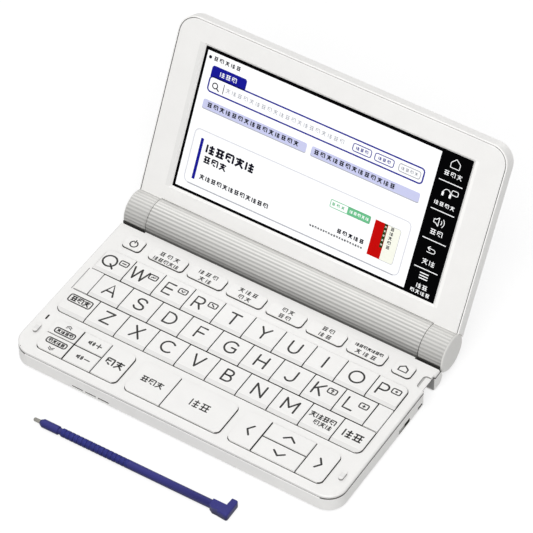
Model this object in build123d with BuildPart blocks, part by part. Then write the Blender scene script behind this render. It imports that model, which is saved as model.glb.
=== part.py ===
from build123d import *
import os
from math import cos, radians, sin

os.makedirs("parts", exist_ok=True)

# Frame: x to the right, y to the rear, z up, in millimetres.
# The origin is the centre of the base's plan, on its flat underside.

# Cells, and the hinge barrel round them
CELL_R = 7.0
CELL_LENGTH = 49.2
NUB_R = 2.7
NUB_LENGTH = 1.3
CELL_CLEARANCE = 0.3
TUBE_WALL = 0.85
TUBE_R = CELL_R + CELL_CLEARANCE
BARREL_R = TUBE_R + TUBE_WALL
CONTACT_R = 3.2
CONTACT_GAP = 0.05

# Knuckles that turn with the lid, one at each end of the barrel
KNUCKLE_WIDTH = 10.7
KNUCKLE_GAP = 0.25
KNUCKLE_CLEARANCE = 0.35
KNUCKLE_BEVEL = 0.5
END_WALL = 3.0
SHAFT_R = 2.5
SHAFT_CLEARANCE = 0.05
SHAFT_RECESS = 0.45

# Outline and walls of the base
HALF_WIDTH = 74.0
CORNER_R = 8.0
WALL = 1.8
FLOOR = 1.0
FOOT_H = 0.6
FOOT_SIZE = (12.0, 5.0)
FOOT_INSET = (12.0, 7.5)
UNDER_CHAMFER = 1.0
DECK_CHAMFER = 0.5
SEAM_GAP = 0.3
RIM_CHAMFER = 0.2
REAR_WALL = 2.6
REAR_ROUND = 4.5
BARREL_HALF = HALF_WIDTH - KNUCKLE_WIDTH - KNUCKLE_GAP

# Battery door: lower rear quarter of the barrel
DOOR_INSET = 8.05
DOOR_HALF = BARREL_HALF - DOOR_INSET
DOOR_DROP = 1.0
DOOR_CLEARANCE = 0.12

# Depths on the deck, from the front edge back to the barrel; the three
# letter rows share what the other keys and the margins leave
DECK_DEPTH = 77.9
FRONT_MARGIN = 3.9
LOW_FRONT_DEPTH = 8.7
LOW_REAR_DEPTH = 8.0
LOW_BREAK = 3.45
FUNCTION_BREAK = 3.5
FUNCTION_DEPTH = 7.1
REAR_MARGIN = 4.6
DECK_GAP = 0.5
CASE_LAP = 1.45
FRONT_Y = -(DECK_DEPTH + DECK_GAP) / 2 - BARREL_R
DECK_REAR_Y = FRONT_Y + DECK_DEPTH
LOW_BOTTOM_Y = FRONT_Y + FRONT_MARGIN
LOW_MID_Y = LOW_BOTTOM_Y + LOW_FRONT_DEPTH
LOW_TOP_Y = LOW_MID_Y + LOW_REAR_DEPTH
FUNCTION_REAR_Y = DECK_REAR_Y - REAR_MARGIN
FUNCTION_FRONT_Y = FUNCTION_REAR_Y - FUNCTION_DEPTH
BLOCK_FRONT_Y = LOW_TOP_Y + LOW_BREAK
ROW_DEPTH = (FUNCTION_FRONT_Y - FUNCTION_BREAK - BLOCK_FRONT_Y) / 3
ROW_EDGES = [BLOCK_FRONT_Y + ROW_DEPTH * k for k in range(4)]
CASE_REAR_Y = DECK_REAR_Y + CASE_LAP
HINGE_Y = DECK_REAR_Y + DECK_GAP + BARREL_R

# Widths on the deck; the lower clusters are laid out in key pitches
SIDE_MARGIN = 4.2
END_KEY = 13.64
LEFT_UNITS = (0.92, 0.93, 0.83)
CENTRE_UNITS = (1.215, 1.895)
RIGHT_UNITS = (0.80, 1.41, 0.81)
CLUSTER_INSET = 4.5
CLUSTER_GAP = 3.3
FUNCTION_SHIFT = -0.2
SIDE_KEY_INSET = 3.0
SIDE_KEY_WIDTH = 8.7
BOOK_INSET = 15.38
BOOK_COUNT = 6
BOOK_GAP = 1.85
BLOCK_HALF = HALF_WIDTH - SIDE_MARGIN
PITCH = (BLOCK_HALF - END_KEY) / 4
BLOCK_CORNER_R = 3.0
CLUSTER_CORNER_R = 2.5
FUNCTION_CORNER_R = 1.8
BUMPER_SIZE = (4.5, 1.9)
MICROPHONE_SIZE = (2.7, 0.8)

# Stylus and its bay in the right side of the base
STYLUS_R = 1.75
STYLUS_LENGTH = 88.8
HEAD_LENGTH = 8.6
HEAD_ARM = 2.9
BAY_CLEARANCE = 0.12
BAY_SKIN = 0.93
BAY_ROOF = 0.33
BAY_WALL = 0.73
BAY_SPARE = 1.0
NOTCH_DEPTH = 4.1
NOTCH_WIDTH = 8.9
NOTCH_SETBACK = 12.95
NOTCH_WALL = 1.2
HEAD_CLEARANCE = 0.1
BAY_OFFSET = 3.3
LIP_THICK = 0.8
RECESS_DEPTH = 0.85
RECESS_SIZE = (6.0, 7.0)
RECESS_CORNER_R = 1.6
NOTCH_X = HALF_WIDTH - NOTCH_DEPTH
LIP_X = HALF_WIDTH - LIP_THICK
NOTCH_FRONT_Y = DECK_REAR_Y - NOTCH_SETBACK
NOTCH_REAR_Y = NOTCH_FRONT_Y + NOTCH_WIDTH
BAY_Y = NOTCH_FRONT_Y + BAY_OFFSET
BAY_R = STYLUS_R + BAY_CLEARANCE
BAY_Z = BAY_SKIN + BAY_R
POCKET_X = LIP_X - HEAD_LENGTH - 0.6
POCKET_FRONT_Y = NOTCH_FRONT_Y
POCKET_REAR_Y = BAY_Y + BAY_R
BAY_END_X = LIP_X - STYLUS_LENGTH - BAY_SPARE

# Heights in the base: bay, board, key sheet, key caps, deck
BOARD_THICK = 0.8
SHEET_THICK = 0.5
DOME_H = 0.35
KEY_TRAVEL = 0.6
TRAVEL_GAP = 0.05
STEM_H = 0.9
CAP_H = 2.6
KEY_RISE = 0.8
DECK_THICK = 2.0
SEAM_DROP = 1.7
TONGUE_DROP = 1.0
HINGE_RISE = 0.8
SHEET_Z = BAY_Z + BAY_R + BAY_ROOF
BOARD_Z = SHEET_Z - BOARD_THICK
DOME_TOP_Z = SHEET_Z + SHEET_THICK + DOME_H
STEM_END_Z = DOME_TOP_Z + KEY_TRAVEL + TRAVEL_GAP
CAP_BOTTOM_Z = STEM_END_Z + STEM_H
KEY_TOP_Z = CAP_BOTTOM_Z + CAP_H
DECK_Z = KEY_TOP_Z - KEY_RISE
PLATE_Z = DECK_Z - DECK_THICK
SEAM_Z = DECK_Z - SEAM_DROP
HINGE_Z = DECK_Z + HINGE_RISE

# Key caps
KEY_GAP = 0.25
SLOPE_DEPTH = 1.8
SLOPE_FALL = 0.35
CAP_CHAMFER = 0.25
REAR_CHAMFER = 0.3
FILLER_DROP = 0.1

# Lid, measured along it (u) and square to its face (n) from the hinge axis
LID_TILT = 64.0
CLOSED_GAP = 0.4
LID_THICK = 7.35
BEZEL_THICK = 0.8
BEZEL_CHAMFER = 0.3
LID_CORNER_R = 8.0
LID_CHAMFER = 1.3
LID_WALL = 1.3
LID_RIM = 0.5
LID_RIM_DROP = 0.2
BEZEL_GAP = 0.25
BEZEL_LIFT = 0.1
LID_SKIN = 1.2
LID_LAP = 2.65
CHIN = 7.15
BROW = 9.85
SCREEN_SIDE = 13.6
GLASS_THICK = 1.8
GLASS_LAP = 2.2
PANEL_THICK = 1.7
PANEL_LAP = 1.0
SCREEN_BEVEL = 0.9
TONGUE_LENGTH = 1.0
TONGUE_THICK = 1.05
TONGUE_GAP = 0.15
LID_POST = 4.0
LID_POST_INSET = 6.0
LID_FACE_N = HINGE_Z - KEY_TOP_Z - CLOSED_GAP
LID_BACK_N = LID_FACE_N - LID_THICK
LID_TOP_U = HINGE_Y - FRONT_Y
LID_LOW_U = BARREL_R - LID_LAP
TRAY_LOW_U = BARREL_R + KNUCKLE_CLEARANCE + 3.0
SCREEN_LOW_U = BARREL_R + CHIN
SCREEN_TOP_U = LID_TOP_U - BROW
SCREEN_HALF = HALF_WIDTH - SCREEN_SIDE
BEZEL_BACK_N = LID_FACE_N - BEZEL_THICK

# Openings in the right and front walls
SOCKET_SETBACK = 46.65
SOCKET_WIDTH = 8.1
SOCKET_RISE = 0.15
SOCKET_H = 2.3
SOCKET_FRONT_Y = FRONT_Y + SOCKET_SETBACK
SOCKET_REAR_Y = SOCKET_FRONT_Y + SOCKET_WIDTH
SOCKET_Z = FLOOR + SOCKET_RISE
SOCKET_TOP_Z = SOCKET_Z + SOCKET_H
STRAP_FRONT_Y = NOTCH_FRONT_Y - 4.0
STRAP_WIDTH = 3.2
STRAP_Z = (1.7, 2.9)
SLIT_INSET = 28.9
SLIT_LENGTH = 5.05
SLIT_PITCH = 6.05
SLIT_Z = (2.0, 2.6)

HINGE_PLANE = Plane(origin=(0, HINGE_Y, HINGE_Z), x_dir=(0, 1, 0), z_dir=(1, 0, 0))
HINGE_AXIS = Axis((0, HINGE_Y, HINGE_Z), (1, 0, 0))
LID_NORMAL = (0, -sin(radians(LID_TILT)), cos(radians(LID_TILT)))
LID_PLANE = Plane(origin=(0, HINGE_Y, HINGE_Z), x_dir=(1, 0, 0), z_dir=LID_NORMAL)
LID_AXIS = Axis(LID_PLANE.origin, LID_PLANE.z_dir)


def plan_outline(inset, y_rear):
    # plan of the base: straight rear edge, rounded front corners
    front = FRONT_Y + inset
    with BuildSketch() as outline:
        with Locations((0, (front + y_rear) / 2)):
            Rectangle(2 * (HALF_WIDTH - inset), y_rear - front)
        fillet(outline.vertices().group_by(Axis.Y)[0], CORNER_R - inset)
    return outline.sketch


def block(x0, x1, y0, y1, z0, z1):
    with BuildPart() as box:
        with Locations(((x0 + x1) / 2, (y0 + y1) / 2, (z0 + z1) / 2)):
            Box(x1 - x0, y1 - y0, z1 - z0)
    return box.part


def hinge_cylinder(radius, x_from, x_to):
    with BuildPart() as cylinder:
        with BuildSketch(HINGE_PLANE.offset(x_from)):
            Circle(radius)
        extrude(amount=x_to - x_from)
    return cylinder.part


def square_post(x, y, half, z0, z1):
    return block(x - half, x + half, y - half, y + half, z0, z1)


def lid_outline(inset, u_low):
    # outline of the lid: rounded top corners, straight lower edge
    top = LID_TOP_U - inset
    with BuildSketch() as outline:
        with Locations((0, (u_low + top) / 2)):
            Rectangle(2 * (HALF_WIDTH - inset), top - u_low)
        fillet(outline.vertices().group_by(Axis.Y)[-1], LID_CORNER_R - inset)
    return outline.sketch


def edges_from(left, units):
    # running edges of a cluster whose keys are given in pitches
    return [left + PITCH * sum(units[:k]) for k in range(len(units) + 1)]


LEFT_EDGES = edges_from(CLUSTER_INSET - BLOCK_HALF, LEFT_UNITS)
CENTRE_EDGES = edges_from(LEFT_EDGES[-1] + CLUSTER_GAP, CENTRE_UNITS)
RIGHT_EDGES = edges_from(CENTRE_EDGES[-1] + CLUSTER_GAP, RIGHT_UNITS)


def key_table():
    # name -> (x left, x right, y front, y rear, whether the front slopes)
    table = {}
    row1 = ("q", "w", "e", "r", "t", "y", "u", "i", "o", "p")
    row2 = ("a", "s", "d", "f", "g", "h", "j", "k", "l")
    row3 = ("shift", "z", "x", "c", "v", "b", "n", "m", "space", "delete")
    full_edges = [-BLOCK_HALF] + [PITCH * (k - 4) for k in range(9)] + [BLOCK_HALF]
    half_edges = [PITCH * (k - 4.5) for k in range(10)]
    for names, edges, row in ((row1, full_edges, 2), (row2, half_edges, 1), (row3, full_edges, 0)):
        for k, name in enumerate(names):
            table["key_" + name] = (edges[k], edges[k + 1], ROW_EDGES[row], ROW_EDGES[row + 1], True)
    whole = (LOW_BOTTOM_Y, LOW_TOP_Y)
    upper = (LOW_MID_Y, LOW_TOP_Y)
    lower = (LOW_BOTTOM_Y, LOW_MID_Y)
    low = (
        ("key_previous", LEFT_EDGES, 0, upper),
        ("key_next", LEFT_EDGES, 0, lower),
        ("key_volume_up", LEFT_EDGES, 1, upper),
        ("key_volume_down", LEFT_EDGES, 1, lower),
        ("key_history", LEFT_EDGES, 2, whole),
        ("key_back", CENTRE_EDGES, 0, whole),
        ("key_enter", CENTRE_EDGES, 1, whole),
        ("key_left", RIGHT_EDGES, 0, whole),
        ("key_up", RIGHT_EDGES, 1, upper),
        ("key_down", RIGHT_EDGES, 1, lower),
        ("key_right", RIGHT_EDGES, 2, whole),
    )
    for name, edges, k, depth in low:
        table[name] = (edges[k], edges[k + 1], depth[0], depth[1], False)
    function_row = (FUNCTION_FRONT_Y, FUNCTION_REAR_Y, False)
    side = BLOCK_HALF - SIDE_KEY_INSET
    left = FUNCTION_SHIFT - side
    right = FUNCTION_SHIFT + side
    table["key_power"] = (left, left + SIDE_KEY_WIDTH) + function_row
    book_half = BLOCK_HALF - BOOK_INSET
    spacing = (2 * book_half + BOOK_GAP) / BOOK_COUNT
    for k in range(BOOK_COUNT):
        start = FUNCTION_SHIFT - book_half + spacing * k
        table["key_book_%d" % (k + 1)] = (start, start + spacing - BOOK_GAP) + function_row
    table["key_home"] = (right - SIDE_KEY_WIDTH, right) + function_row
    return table


def cell_centre(cell):
    return (cell[0] + cell[1]) / 2, (cell[2] + cell[3]) / 2


KEYS = key_table()
FILLERS = (
    (-BLOCK_HALF, KEYS["key_a"][0], ROW_EDGES[1], ROW_EDGES[2]),
    (KEYS["key_l"][1], BLOCK_HALF, ROW_EDGES[1], ROW_EDGES[2]),
)
# wells in the deck: (x left, x right, y front, y rear, corner radius)
WELLS = [
    (-BLOCK_HALF, BLOCK_HALF, ROW_EDGES[0], ROW_EDGES[3], BLOCK_CORNER_R),
    (LEFT_EDGES[0], LEFT_EDGES[-1], LOW_BOTTOM_Y, LOW_TOP_Y, CLUSTER_CORNER_R),
    (CENTRE_EDGES[0], CENTRE_EDGES[-1], LOW_BOTTOM_Y, LOW_TOP_Y, CLUSTER_CORNER_R),
    (RIGHT_EDGES[0], RIGHT_EDGES[-1], LOW_BOTTOM_Y, LOW_TOP_Y, CLUSTER_CORNER_R),
]
for cell in KEYS.values():
    if cell[2] == FUNCTION_FRONT_Y:
        WELLS.append(cell[:4] + (FUNCTION_CORNER_R,))

# posts that carry the deck, at the walls and between the lower clusters
POST_HALF = 1.7
CENTRE_POST_HALF = 1.3
POST_HOLE_GAP = 0.4
POST_HOLE_HALF = CENTRE_POST_HALF + POST_HOLE_GAP
WALL_POSTS = []
for sign in (-1, 1):
    WALL_POSTS.append((sign * (HALF_WIDTH - 4.7), FRONT_Y + 4.75))
    WALL_POSTS.append((sign * (HALF_WIDTH - 3.7), LOW_TOP_Y + LOW_BREAK / 2))
    WALL_POSTS.append((sign * (HALF_WIDTH - 14.0), DECK_REAR_Y - 2.4))
CENTRE_POSTS = [
    (LEFT_EDGES[-1] + CLUSTER_GAP / 2, LOW_MID_Y),
    (CENTRE_EDGES[-1] + CLUSTER_GAP / 2, LOW_MID_Y),
]

# board and key sheet
BOARD_HALF = HALF_WIDTH - 7.6
BOARD_FRONT_Y = FRONT_Y + 2.9
BOARD_REAR_Y = BAY_Y - BAY_R - BAY_WALL - 0.2
SHEET_HALF = HALF_WIDTH - 7.8
SHEET_FRONT_Y = LOW_BOTTOM_Y - 0.75
SHEET_REAR_Y = FUNCTION_REAR_Y + 0.2
SHEET_PAD = 3.4
RIB_THICK = 1.2
RIB_INSET = 20.0
RIB_SETBACKS = (25.4, 52.4)


# Lower case: tray with posts, stylus bay, socket opening and speaker slits
with BuildPart() as lower_case:
    with BuildSketch():
        add(plan_outline(0, CASE_REAR_Y))
    extrude(amount=SEAM_Z)
    chamfer(lower_case.faces().sort_by(Axis.Z)[0].edges().group_by(Axis.Y)[:-1], UNDER_CHAMFER)
    chamfer(lower_case.faces().sort_by(Axis.Z)[-1].edges().group_by(Axis.Y)[:-1], RIM_CHAMFER)
    with BuildSketch(Plane.XY.offset(FLOOR)):
        add(plan_outline(WALL, CASE_REAR_Y - REAR_WALL))
    extrude(amount=SEAM_Z - FLOOR, mode=Mode.SUBTRACT)
    # rounded underside at the rear, ahead of the barrel
    with BuildSketch(Plane.YZ.offset(-HALF_WIDTH - 1)):
        with BuildLine():
            Polyline(
                (CASE_REAR_Y - REAR_ROUND, 0),
                (CASE_REAR_Y - REAR_ROUND, -2),
                (CASE_REAR_Y + 2, -2),
                (CASE_REAR_Y + 2, REAR_ROUND),
                (CASE_REAR_Y, REAR_ROUND),
            )
            RadiusArc((CASE_REAR_Y, REAR_ROUND), (CASE_REAR_Y - REAR_ROUND, 0), REAR_ROUND)
        make_face()
    extrude(amount=2 * HALF_WIDTH + 2, mode=Mode.SUBTRACT)
    # posts up to the underside of the deck, ribs under the board
    for x, y in WALL_POSTS:
        add(square_post(x, y, POST_HALF, FLOOR / 2, PLATE_Z))
    for x, y in CENTRE_POSTS:
        add(square_post(x, y, CENTRE_POST_HALF, FLOOR / 2, PLATE_Z))
    for setback in RIB_SETBACKS:
        y = BOARD_FRONT_Y + setback
        x = BOARD_HALF - RIB_INSET
        add(block(-x, x, y, y + RIB_THICK, FLOOR / 2, BOARD_Z))
    # stylus bay: a sleeve along x, then a pocket and a notch for the head
    sleeve = BAY_R + BAY_WALL
    add(block(BAY_END_X - 1, NOTCH_X, BAY_Y - sleeve, BAY_Y + sleeve, FLOOR / 2, SHEET_Z))
    add(block(POCKET_X - 1, NOTCH_X, POCKET_FRONT_Y - NOTCH_WALL, BAY_Y, FLOOR / 2, SHEET_Z))
    add(
        block(
            NOTCH_X - 1.6, HALF_WIDTH - WALL + 0.4,
            NOTCH_FRONT_Y - NOTCH_WALL, NOTCH_REAR_Y + NOTCH_WALL,
            FLOOR / 2, SEAM_Z,
        )
    )
    with BuildSketch(Plane.YZ.offset(NOTCH_X)):
        with Locations((BAY_Y, BAY_Z)):
            Circle(BAY_R)
    extrude(amount=BAY_END_X - NOTCH_X, mode=Mode.SUBTRACT)
    add(
        block(POCKET_X, NOTCH_X + 1, POCKET_FRONT_Y, POCKET_REAR_Y, BAY_Z - BAY_R, BAY_Z + BAY_R),
        mode=Mode.SUBTRACT,
    )
    add(
        block(NOTCH_X, HALF_WIDTH + 1, NOTCH_FRONT_Y, NOTCH_REAR_Y, -1, SEAM_Z + 1),
        mode=Mode.SUBTRACT,
    )
    # socket and strap slot in the right wall, three slits in the front wall
    add(
        block(HALF_WIDTH - 4, HALF_WIDTH + 2, SOCKET_FRONT_Y, SOCKET_REAR_Y, SOCKET_Z, SOCKET_TOP_Z),
        mode=Mode.SUBTRACT,
    )
    add(
        block(
            HALF_WIDTH - WALL - 0.4, HALF_WIDTH + 2,
            STRAP_FRONT_Y, STRAP_FRONT_Y + STRAP_WIDTH,
            STRAP_Z[0], STRAP_Z[1],
        ),
        mode=Mode.SUBTRACT,
    )
    for k in range(3):
        start = SLIT_INSET - HALF_WIDTH + SLIT_PITCH * k
        add(
            block(start, start + SLIT_LENGTH, FRONT_Y - 1, FRONT_Y + WALL + 1, SLIT_Z[0], SLIT_Z[1]),
            mode=Mode.SUBTRACT,
        )
    # barrel seat in the middle, running room under the knuckles
    add(hinge_cylinder(BARREL_R, -BARREL_HALF, BARREL_HALF), mode=Mode.SUBTRACT)
    knuckle_room = BARREL_R + KNUCKLE_CLEARANCE
    for x0, x1 in ((-HALF_WIDTH - 1, -BARREL_HALF), (BARREL_HALF, HALF_WIDTH + 1)):
        add(hinge_cylinder(knuckle_room, x0, x1), mode=Mode.SUBTRACT)
    # four feet
    foot_x = HALF_WIDTH - FOOT_INSET[0]
    for x in (-foot_x, foot_x):
        for y in (FRONT_Y + FOOT_INSET[1], CASE_REAR_Y - REAR_ROUND - FOOT_INSET[1] / 2):
            with BuildSketch(Plane.XY.offset(-FOOT_H)):
                with Locations((x, y)):
                    Rectangle(*FOOT_SIZE)
            extrude(amount=FOOT_H + FLOOR / 2)
lower_case.part.label = "lower_case"
export_step(lower_case.part, "parts/lower_case.step")

# Upper case: deck with a tongue inside the tray's walls and a well for each
# group of keys, fixed pads at the ends of the middle row, and bumpers
with BuildPart() as upper_case:
    with BuildSketch(Plane.XY.offset(SEAM_Z + SEAM_GAP)):
        add(plan_outline(0, DECK_REAR_Y))
    extrude(amount=DECK_Z - SEAM_Z - SEAM_GAP)
    chamfer(upper_case.faces().sort_by(Axis.Z)[-1].edges().group_by(Axis.Y)[:-1], DECK_CHAMFER)
    with BuildSketch(Plane.XY.offset(PLATE_Z)):
        add(plan_outline(WALL + TONGUE_GAP, CASE_REAR_Y - REAR_WALL - TONGUE_GAP))
    extrude(amount=DECK_THICK - TONGUE_DROP)
    knuckle_front_y = HINGE_Y - BARREL_R - KNUCKLE_CLEARANCE - 0.85
    for x0, x1 in ((-HALF_WIDTH - 1, 0.4 - BARREL_HALF), (BARREL_HALF - 0.4, HALF_WIDTH + 1)):
        add(
            block(x0, x1, knuckle_front_y, DECK_REAR_Y + 2, PLATE_Z - 1, DECK_Z + 1),
            mode=Mode.SUBTRACT,
        )
    with BuildSketch(Plane.XY.offset(PLATE_Z - 0.5)):
        for x0, x1, y0, y1, corner in WELLS:
            with Locations(((x0 + x1) / 2, (y0 + y1) / 2)):
                RectangleRounded(x1 - x0, y1 - y0, corner)
    extrude(amount=DECK_THICK + 1, mode=Mode.SUBTRACT)
    for x0, x1, y0, y1 in FILLERS:
        front, rear = y0 + KEY_GAP, y1 - KEY_GAP
        add(block(x0, x1, front, rear, PLATE_Z, PLATE_Z + DECK_THICK - TONGUE_DROP))
        add(block(x0 + KEY_GAP, x1 - KEY_GAP, front, rear, PLATE_Z, KEY_TOP_Z - FILLER_DROP))
    # head notch of the stylus bay and the finger recess beside it
    add(
        block(
            NOTCH_X - 3.0, HALF_WIDTH + 2,
            NOTCH_FRONT_Y - NOTCH_WALL - 0.2, NOTCH_REAR_Y + NOTCH_WALL + 0.2,
            PLATE_Z - 1, SEAM_Z + SEAM_GAP,
        ),
        mode=Mode.SUBTRACT,
    )
    add(
        block(LIP_X, HALF_WIDTH + 2, NOTCH_FRONT_Y, NOTCH_REAR_Y, PLATE_Z - 1, DECK_Z + 1),
        mode=Mode.SUBTRACT,
    )
    with BuildSketch(Plane.XY.offset(DECK_Z - RECESS_DEPTH)):
        with Locations((LIP_X + 0.1, NOTCH_FRONT_Y + RECESS_SIZE[1] / 2)):
            RectangleRounded(*RECESS_SIZE, RECESS_CORNER_R)
    extrude(amount=DECK_THICK, mode=Mode.SUBTRACT)
    # bumpers that the closed lid rests near, microphone slot
    for x in (SIDE_MARGIN - HALF_WIDTH + 0.1, HALF_WIDTH - SIDE_MARGIN - 0.1):
        with BuildSketch(Plane.XY.offset(DECK_Z - 0.3)):
            with Locations((x, LOW_MID_Y - 0.4)):
                SlotOverall(*BUMPER_SIZE, rotation=90)
        extrude(amount=KEY_RISE + CLOSED_GAP / 2 + 0.3)
    with BuildSketch(Plane.XY.offset(DECK_Z - 0.6)):
        with Locations((SIDE_MARGIN - HALF_WIDTH, LOW_TOP_Y - 1.2)):
            SlotOverall(*MICROPHONE_SIZE, rotation=90)
    extrude(amount=DECK_THICK, mode=Mode.SUBTRACT)
upper_case.part.label = "upper_case"
export_step(upper_case.part, "parts/upper_case.step")

# Barrel shell: battery tube with bored end walls and an opening for the door
with BuildPart() as barrel_shell:
    add(hinge_cylinder(BARREL_R, -BARREL_HALF, BARREL_HALF))
    add(hinge_cylinder(TUBE_R, END_WALL - BARREL_HALF, BARREL_HALF - END_WALL), mode=Mode.SUBTRACT)
    add(hinge_cylinder(SHAFT_R + SHAFT_CLEARANCE, -HALF_WIDTH, HALF_WIDTH), mode=Mode.SUBTRACT)
    add(
        block(
            -DOOR_HALF, DOOR_HALF,
            HINGE_Y - DOOR_DROP, HINGE_Y + 2 * BARREL_R,
            HINGE_Z - 2 * BARREL_R, HINGE_Z - DOOR_DROP,
        ),
        mode=Mode.SUBTRACT,
    )
barrel_shell.part.label = "barrel_shell"
export_step(barrel_shell.part, "parts/barrel_shell.step")

# Battery door: the quarter missing from the tube
with BuildPart() as battery_cover:
    add(hinge_cylinder(BARREL_R, DOOR_CLEARANCE - DOOR_HALF, DOOR_HALF - DOOR_CLEARANCE))
    add(hinge_cylinder(TUBE_R, -DOOR_HALF, DOOR_HALF), mode=Mode.SUBTRACT)
    add(
        block(
            -DOOR_HALF, DOOR_HALF,
            HINGE_Y - DOOR_DROP + DOOR_CLEARANCE, HINGE_Y + 2 * BARREL_R,
            HINGE_Z - 2 * BARREL_R, HINGE_Z - DOOR_DROP - DOOR_CLEARANCE,
        ),
        mode=Mode.INTERSECT,
    )
battery_cover.part.label = "battery_cover"
export_step(battery_cover.part, "parts/battery_cover.step")

# Two round cells end to end, and the sprung contact at each end
with BuildPart() as batteries:
    for start in (-CELL_LENGTH - NUB_LENGTH, 0.0):
        add(hinge_cylinder(CELL_R, start, start + CELL_LENGTH))
        add(hinge_cylinder(NUB_R, start + CELL_LENGTH - 0.5, start + CELL_LENGTH + NUB_LENGTH))
    inner = CELL_LENGTH + NUB_LENGTH + CONTACT_GAP
    outer = BARREL_HALF - END_WALL
    for x0, x1 in ((-outer, -inner), (inner, outer)):
        add(hinge_cylinder(CONTACT_R, x0, x1))
batteries.part.label = "batteries"
export_step(batteries.part, "parts/batteries.step")

# chips under the board: (x, distance from the board's front, width, depth, height)
CHIPS = ((-12, 16.4, 14, 14, 1.3), (10, 32.4, 11, 9, 1.1), (-34, 38.4, 10, 6, 1.1), (30, 14.4, 8, 8, 1.2))

# Main board: board, side socket on its riser, chips and speaker
with BuildPart() as main_board:
    add(block(-BOARD_HALF, BOARD_HALF, BOARD_FRONT_Y, BOARD_REAR_Y, BOARD_Z, SHEET_Z))
    add(
        block(
            POCKET_X - 1.2, HALF_WIDTH,
            POCKET_FRONT_Y - NOTCH_WALL - 0.2, BOARD_REAR_Y + 1,
            BOARD_Z - 1, SHEET_Z + 1,
        ),
        mode=Mode.SUBTRACT,
    )
    for x, y in CENTRE_POSTS:
        add(square_post(x, y, POST_HOLE_HALF, BOARD_Z - 1, SHEET_Z + 1), mode=Mode.SUBTRACT)
    # socket on a riser under the board: open shell with a contact tongue
    shell_top = SOCKET_TOP_Z - 0.1
    riser_end = HALF_WIDTH - WALL - 0.1
    add(block(BOARD_HALF - 6.4, riser_end, SOCKET_FRONT_Y - 0.6, SOCKET_REAR_Y + 0.6, shell_top, BOARD_Z))
    add(
        block(
            HALF_WIDTH - 8, HALF_WIDTH - 0.8,
            SOCKET_FRONT_Y + 0.15, SOCKET_REAR_Y - 0.15,
            SOCKET_Z + 0.1, shell_top,
        )
    )
    add(
        block(
            HALF_WIDTH - 6, HALF_WIDTH,
            SOCKET_FRONT_Y + 0.5, SOCKET_REAR_Y - 0.5,
            SOCKET_Z + 0.4, shell_top - 0.3,
        ),
        mode=Mode.SUBTRACT,
    )
    add(
        block(
            HALF_WIDTH - 6.5, HALF_WIDTH - 1.4,
            SOCKET_FRONT_Y + 1.6, SOCKET_REAR_Y - 1.6,
            SOCKET_Z + 0.9, SOCKET_Z + 1.35,
        )
    )
    for x, setback, width, depth, tall in CHIPS:
        y = BOARD_FRONT_Y + setback
        add(block(x - width / 2, x + width / 2, y - depth / 2, y + depth / 2, BOARD_Z - tall, BOARD_Z))
    # speaker behind the front slits
    speaker_x = SLIT_INSET - HALF_WIDTH - 2.9
    add(
        block(
            speaker_x, speaker_x + 4 * SLIT_PITCH - 1.7,
            BOARD_FRONT_Y + 0.2, BOARD_FRONT_Y + 7.0,
            FLOOR, BOARD_Z,
        )
    )
main_board.part.label = "main_board"
export_step(main_board.part, "parts/main_board.step")

# Rubber key sheet with one raised pad under each stem
with BuildPart() as key_sheet:
    add(block(-SHEET_HALF, SHEET_HALF, SHEET_FRONT_Y, SHEET_REAR_Y, SHEET_Z, SHEET_Z + SHEET_THICK))
    for x, y in CENTRE_POSTS:
        add(square_post(x, y, POST_HOLE_HALF, SHEET_Z - 1, SHEET_Z + 1), mode=Mode.SUBTRACT)
    with BuildSketch(Plane.XY.offset(SHEET_Z + SHEET_THICK)):
        for cell in KEYS.values():
            with Locations(cell_centre(cell)):
                Rectangle(SHEET_PAD, SHEET_PAD)
    extrude(amount=DOME_H)
key_sheet.part.label = "key_sheet"
export_step(key_sheet.part, "parts/key_sheet.step")

# Hinge knuckles: one at each end of the barrel, with an inner stub shaft
with BuildPart() as hinge_knuckles:
    for sign in (-1, 1):
        inner = BARREL_HALF + KNUCKLE_GAP
        tip = BARREL_HALF - END_WALL + SHAFT_RECESS
        with BuildSketch(Plane.XY.offset(HINGE_Z)):
            with BuildLine():
                Polyline(
                    (sign * tip, HINGE_Y),
                    (sign * tip, HINGE_Y + SHAFT_R),
                    (sign * inner, HINGE_Y + SHAFT_R),
                    (sign * inner, HINGE_Y + BARREL_R),
                    (sign * (HALF_WIDTH - KNUCKLE_BEVEL), HINGE_Y + BARREL_R),
                    (sign * HALF_WIDTH, HINGE_Y + BARREL_R - KNUCKLE_BEVEL),
                    (sign * HALF_WIDTH, HINGE_Y),
                    close=True,
                )
            make_face()
        revolve(axis=HINGE_AXIS)
hinge_knuckles.part.label = "hinge_knuckles"
export_step(hinge_knuckles.part, "parts/hinge_knuckles.step")

lid_post_x = HALF_WIDTH - LID_POST_INSET
LID_POSTS = []
for x in (-lid_post_x, lid_post_x):
    for u in (TRAY_LOW_U + 4.5, LID_TOP_U - LID_POST_INSET):
        LID_POSTS.append((x, u))

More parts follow.
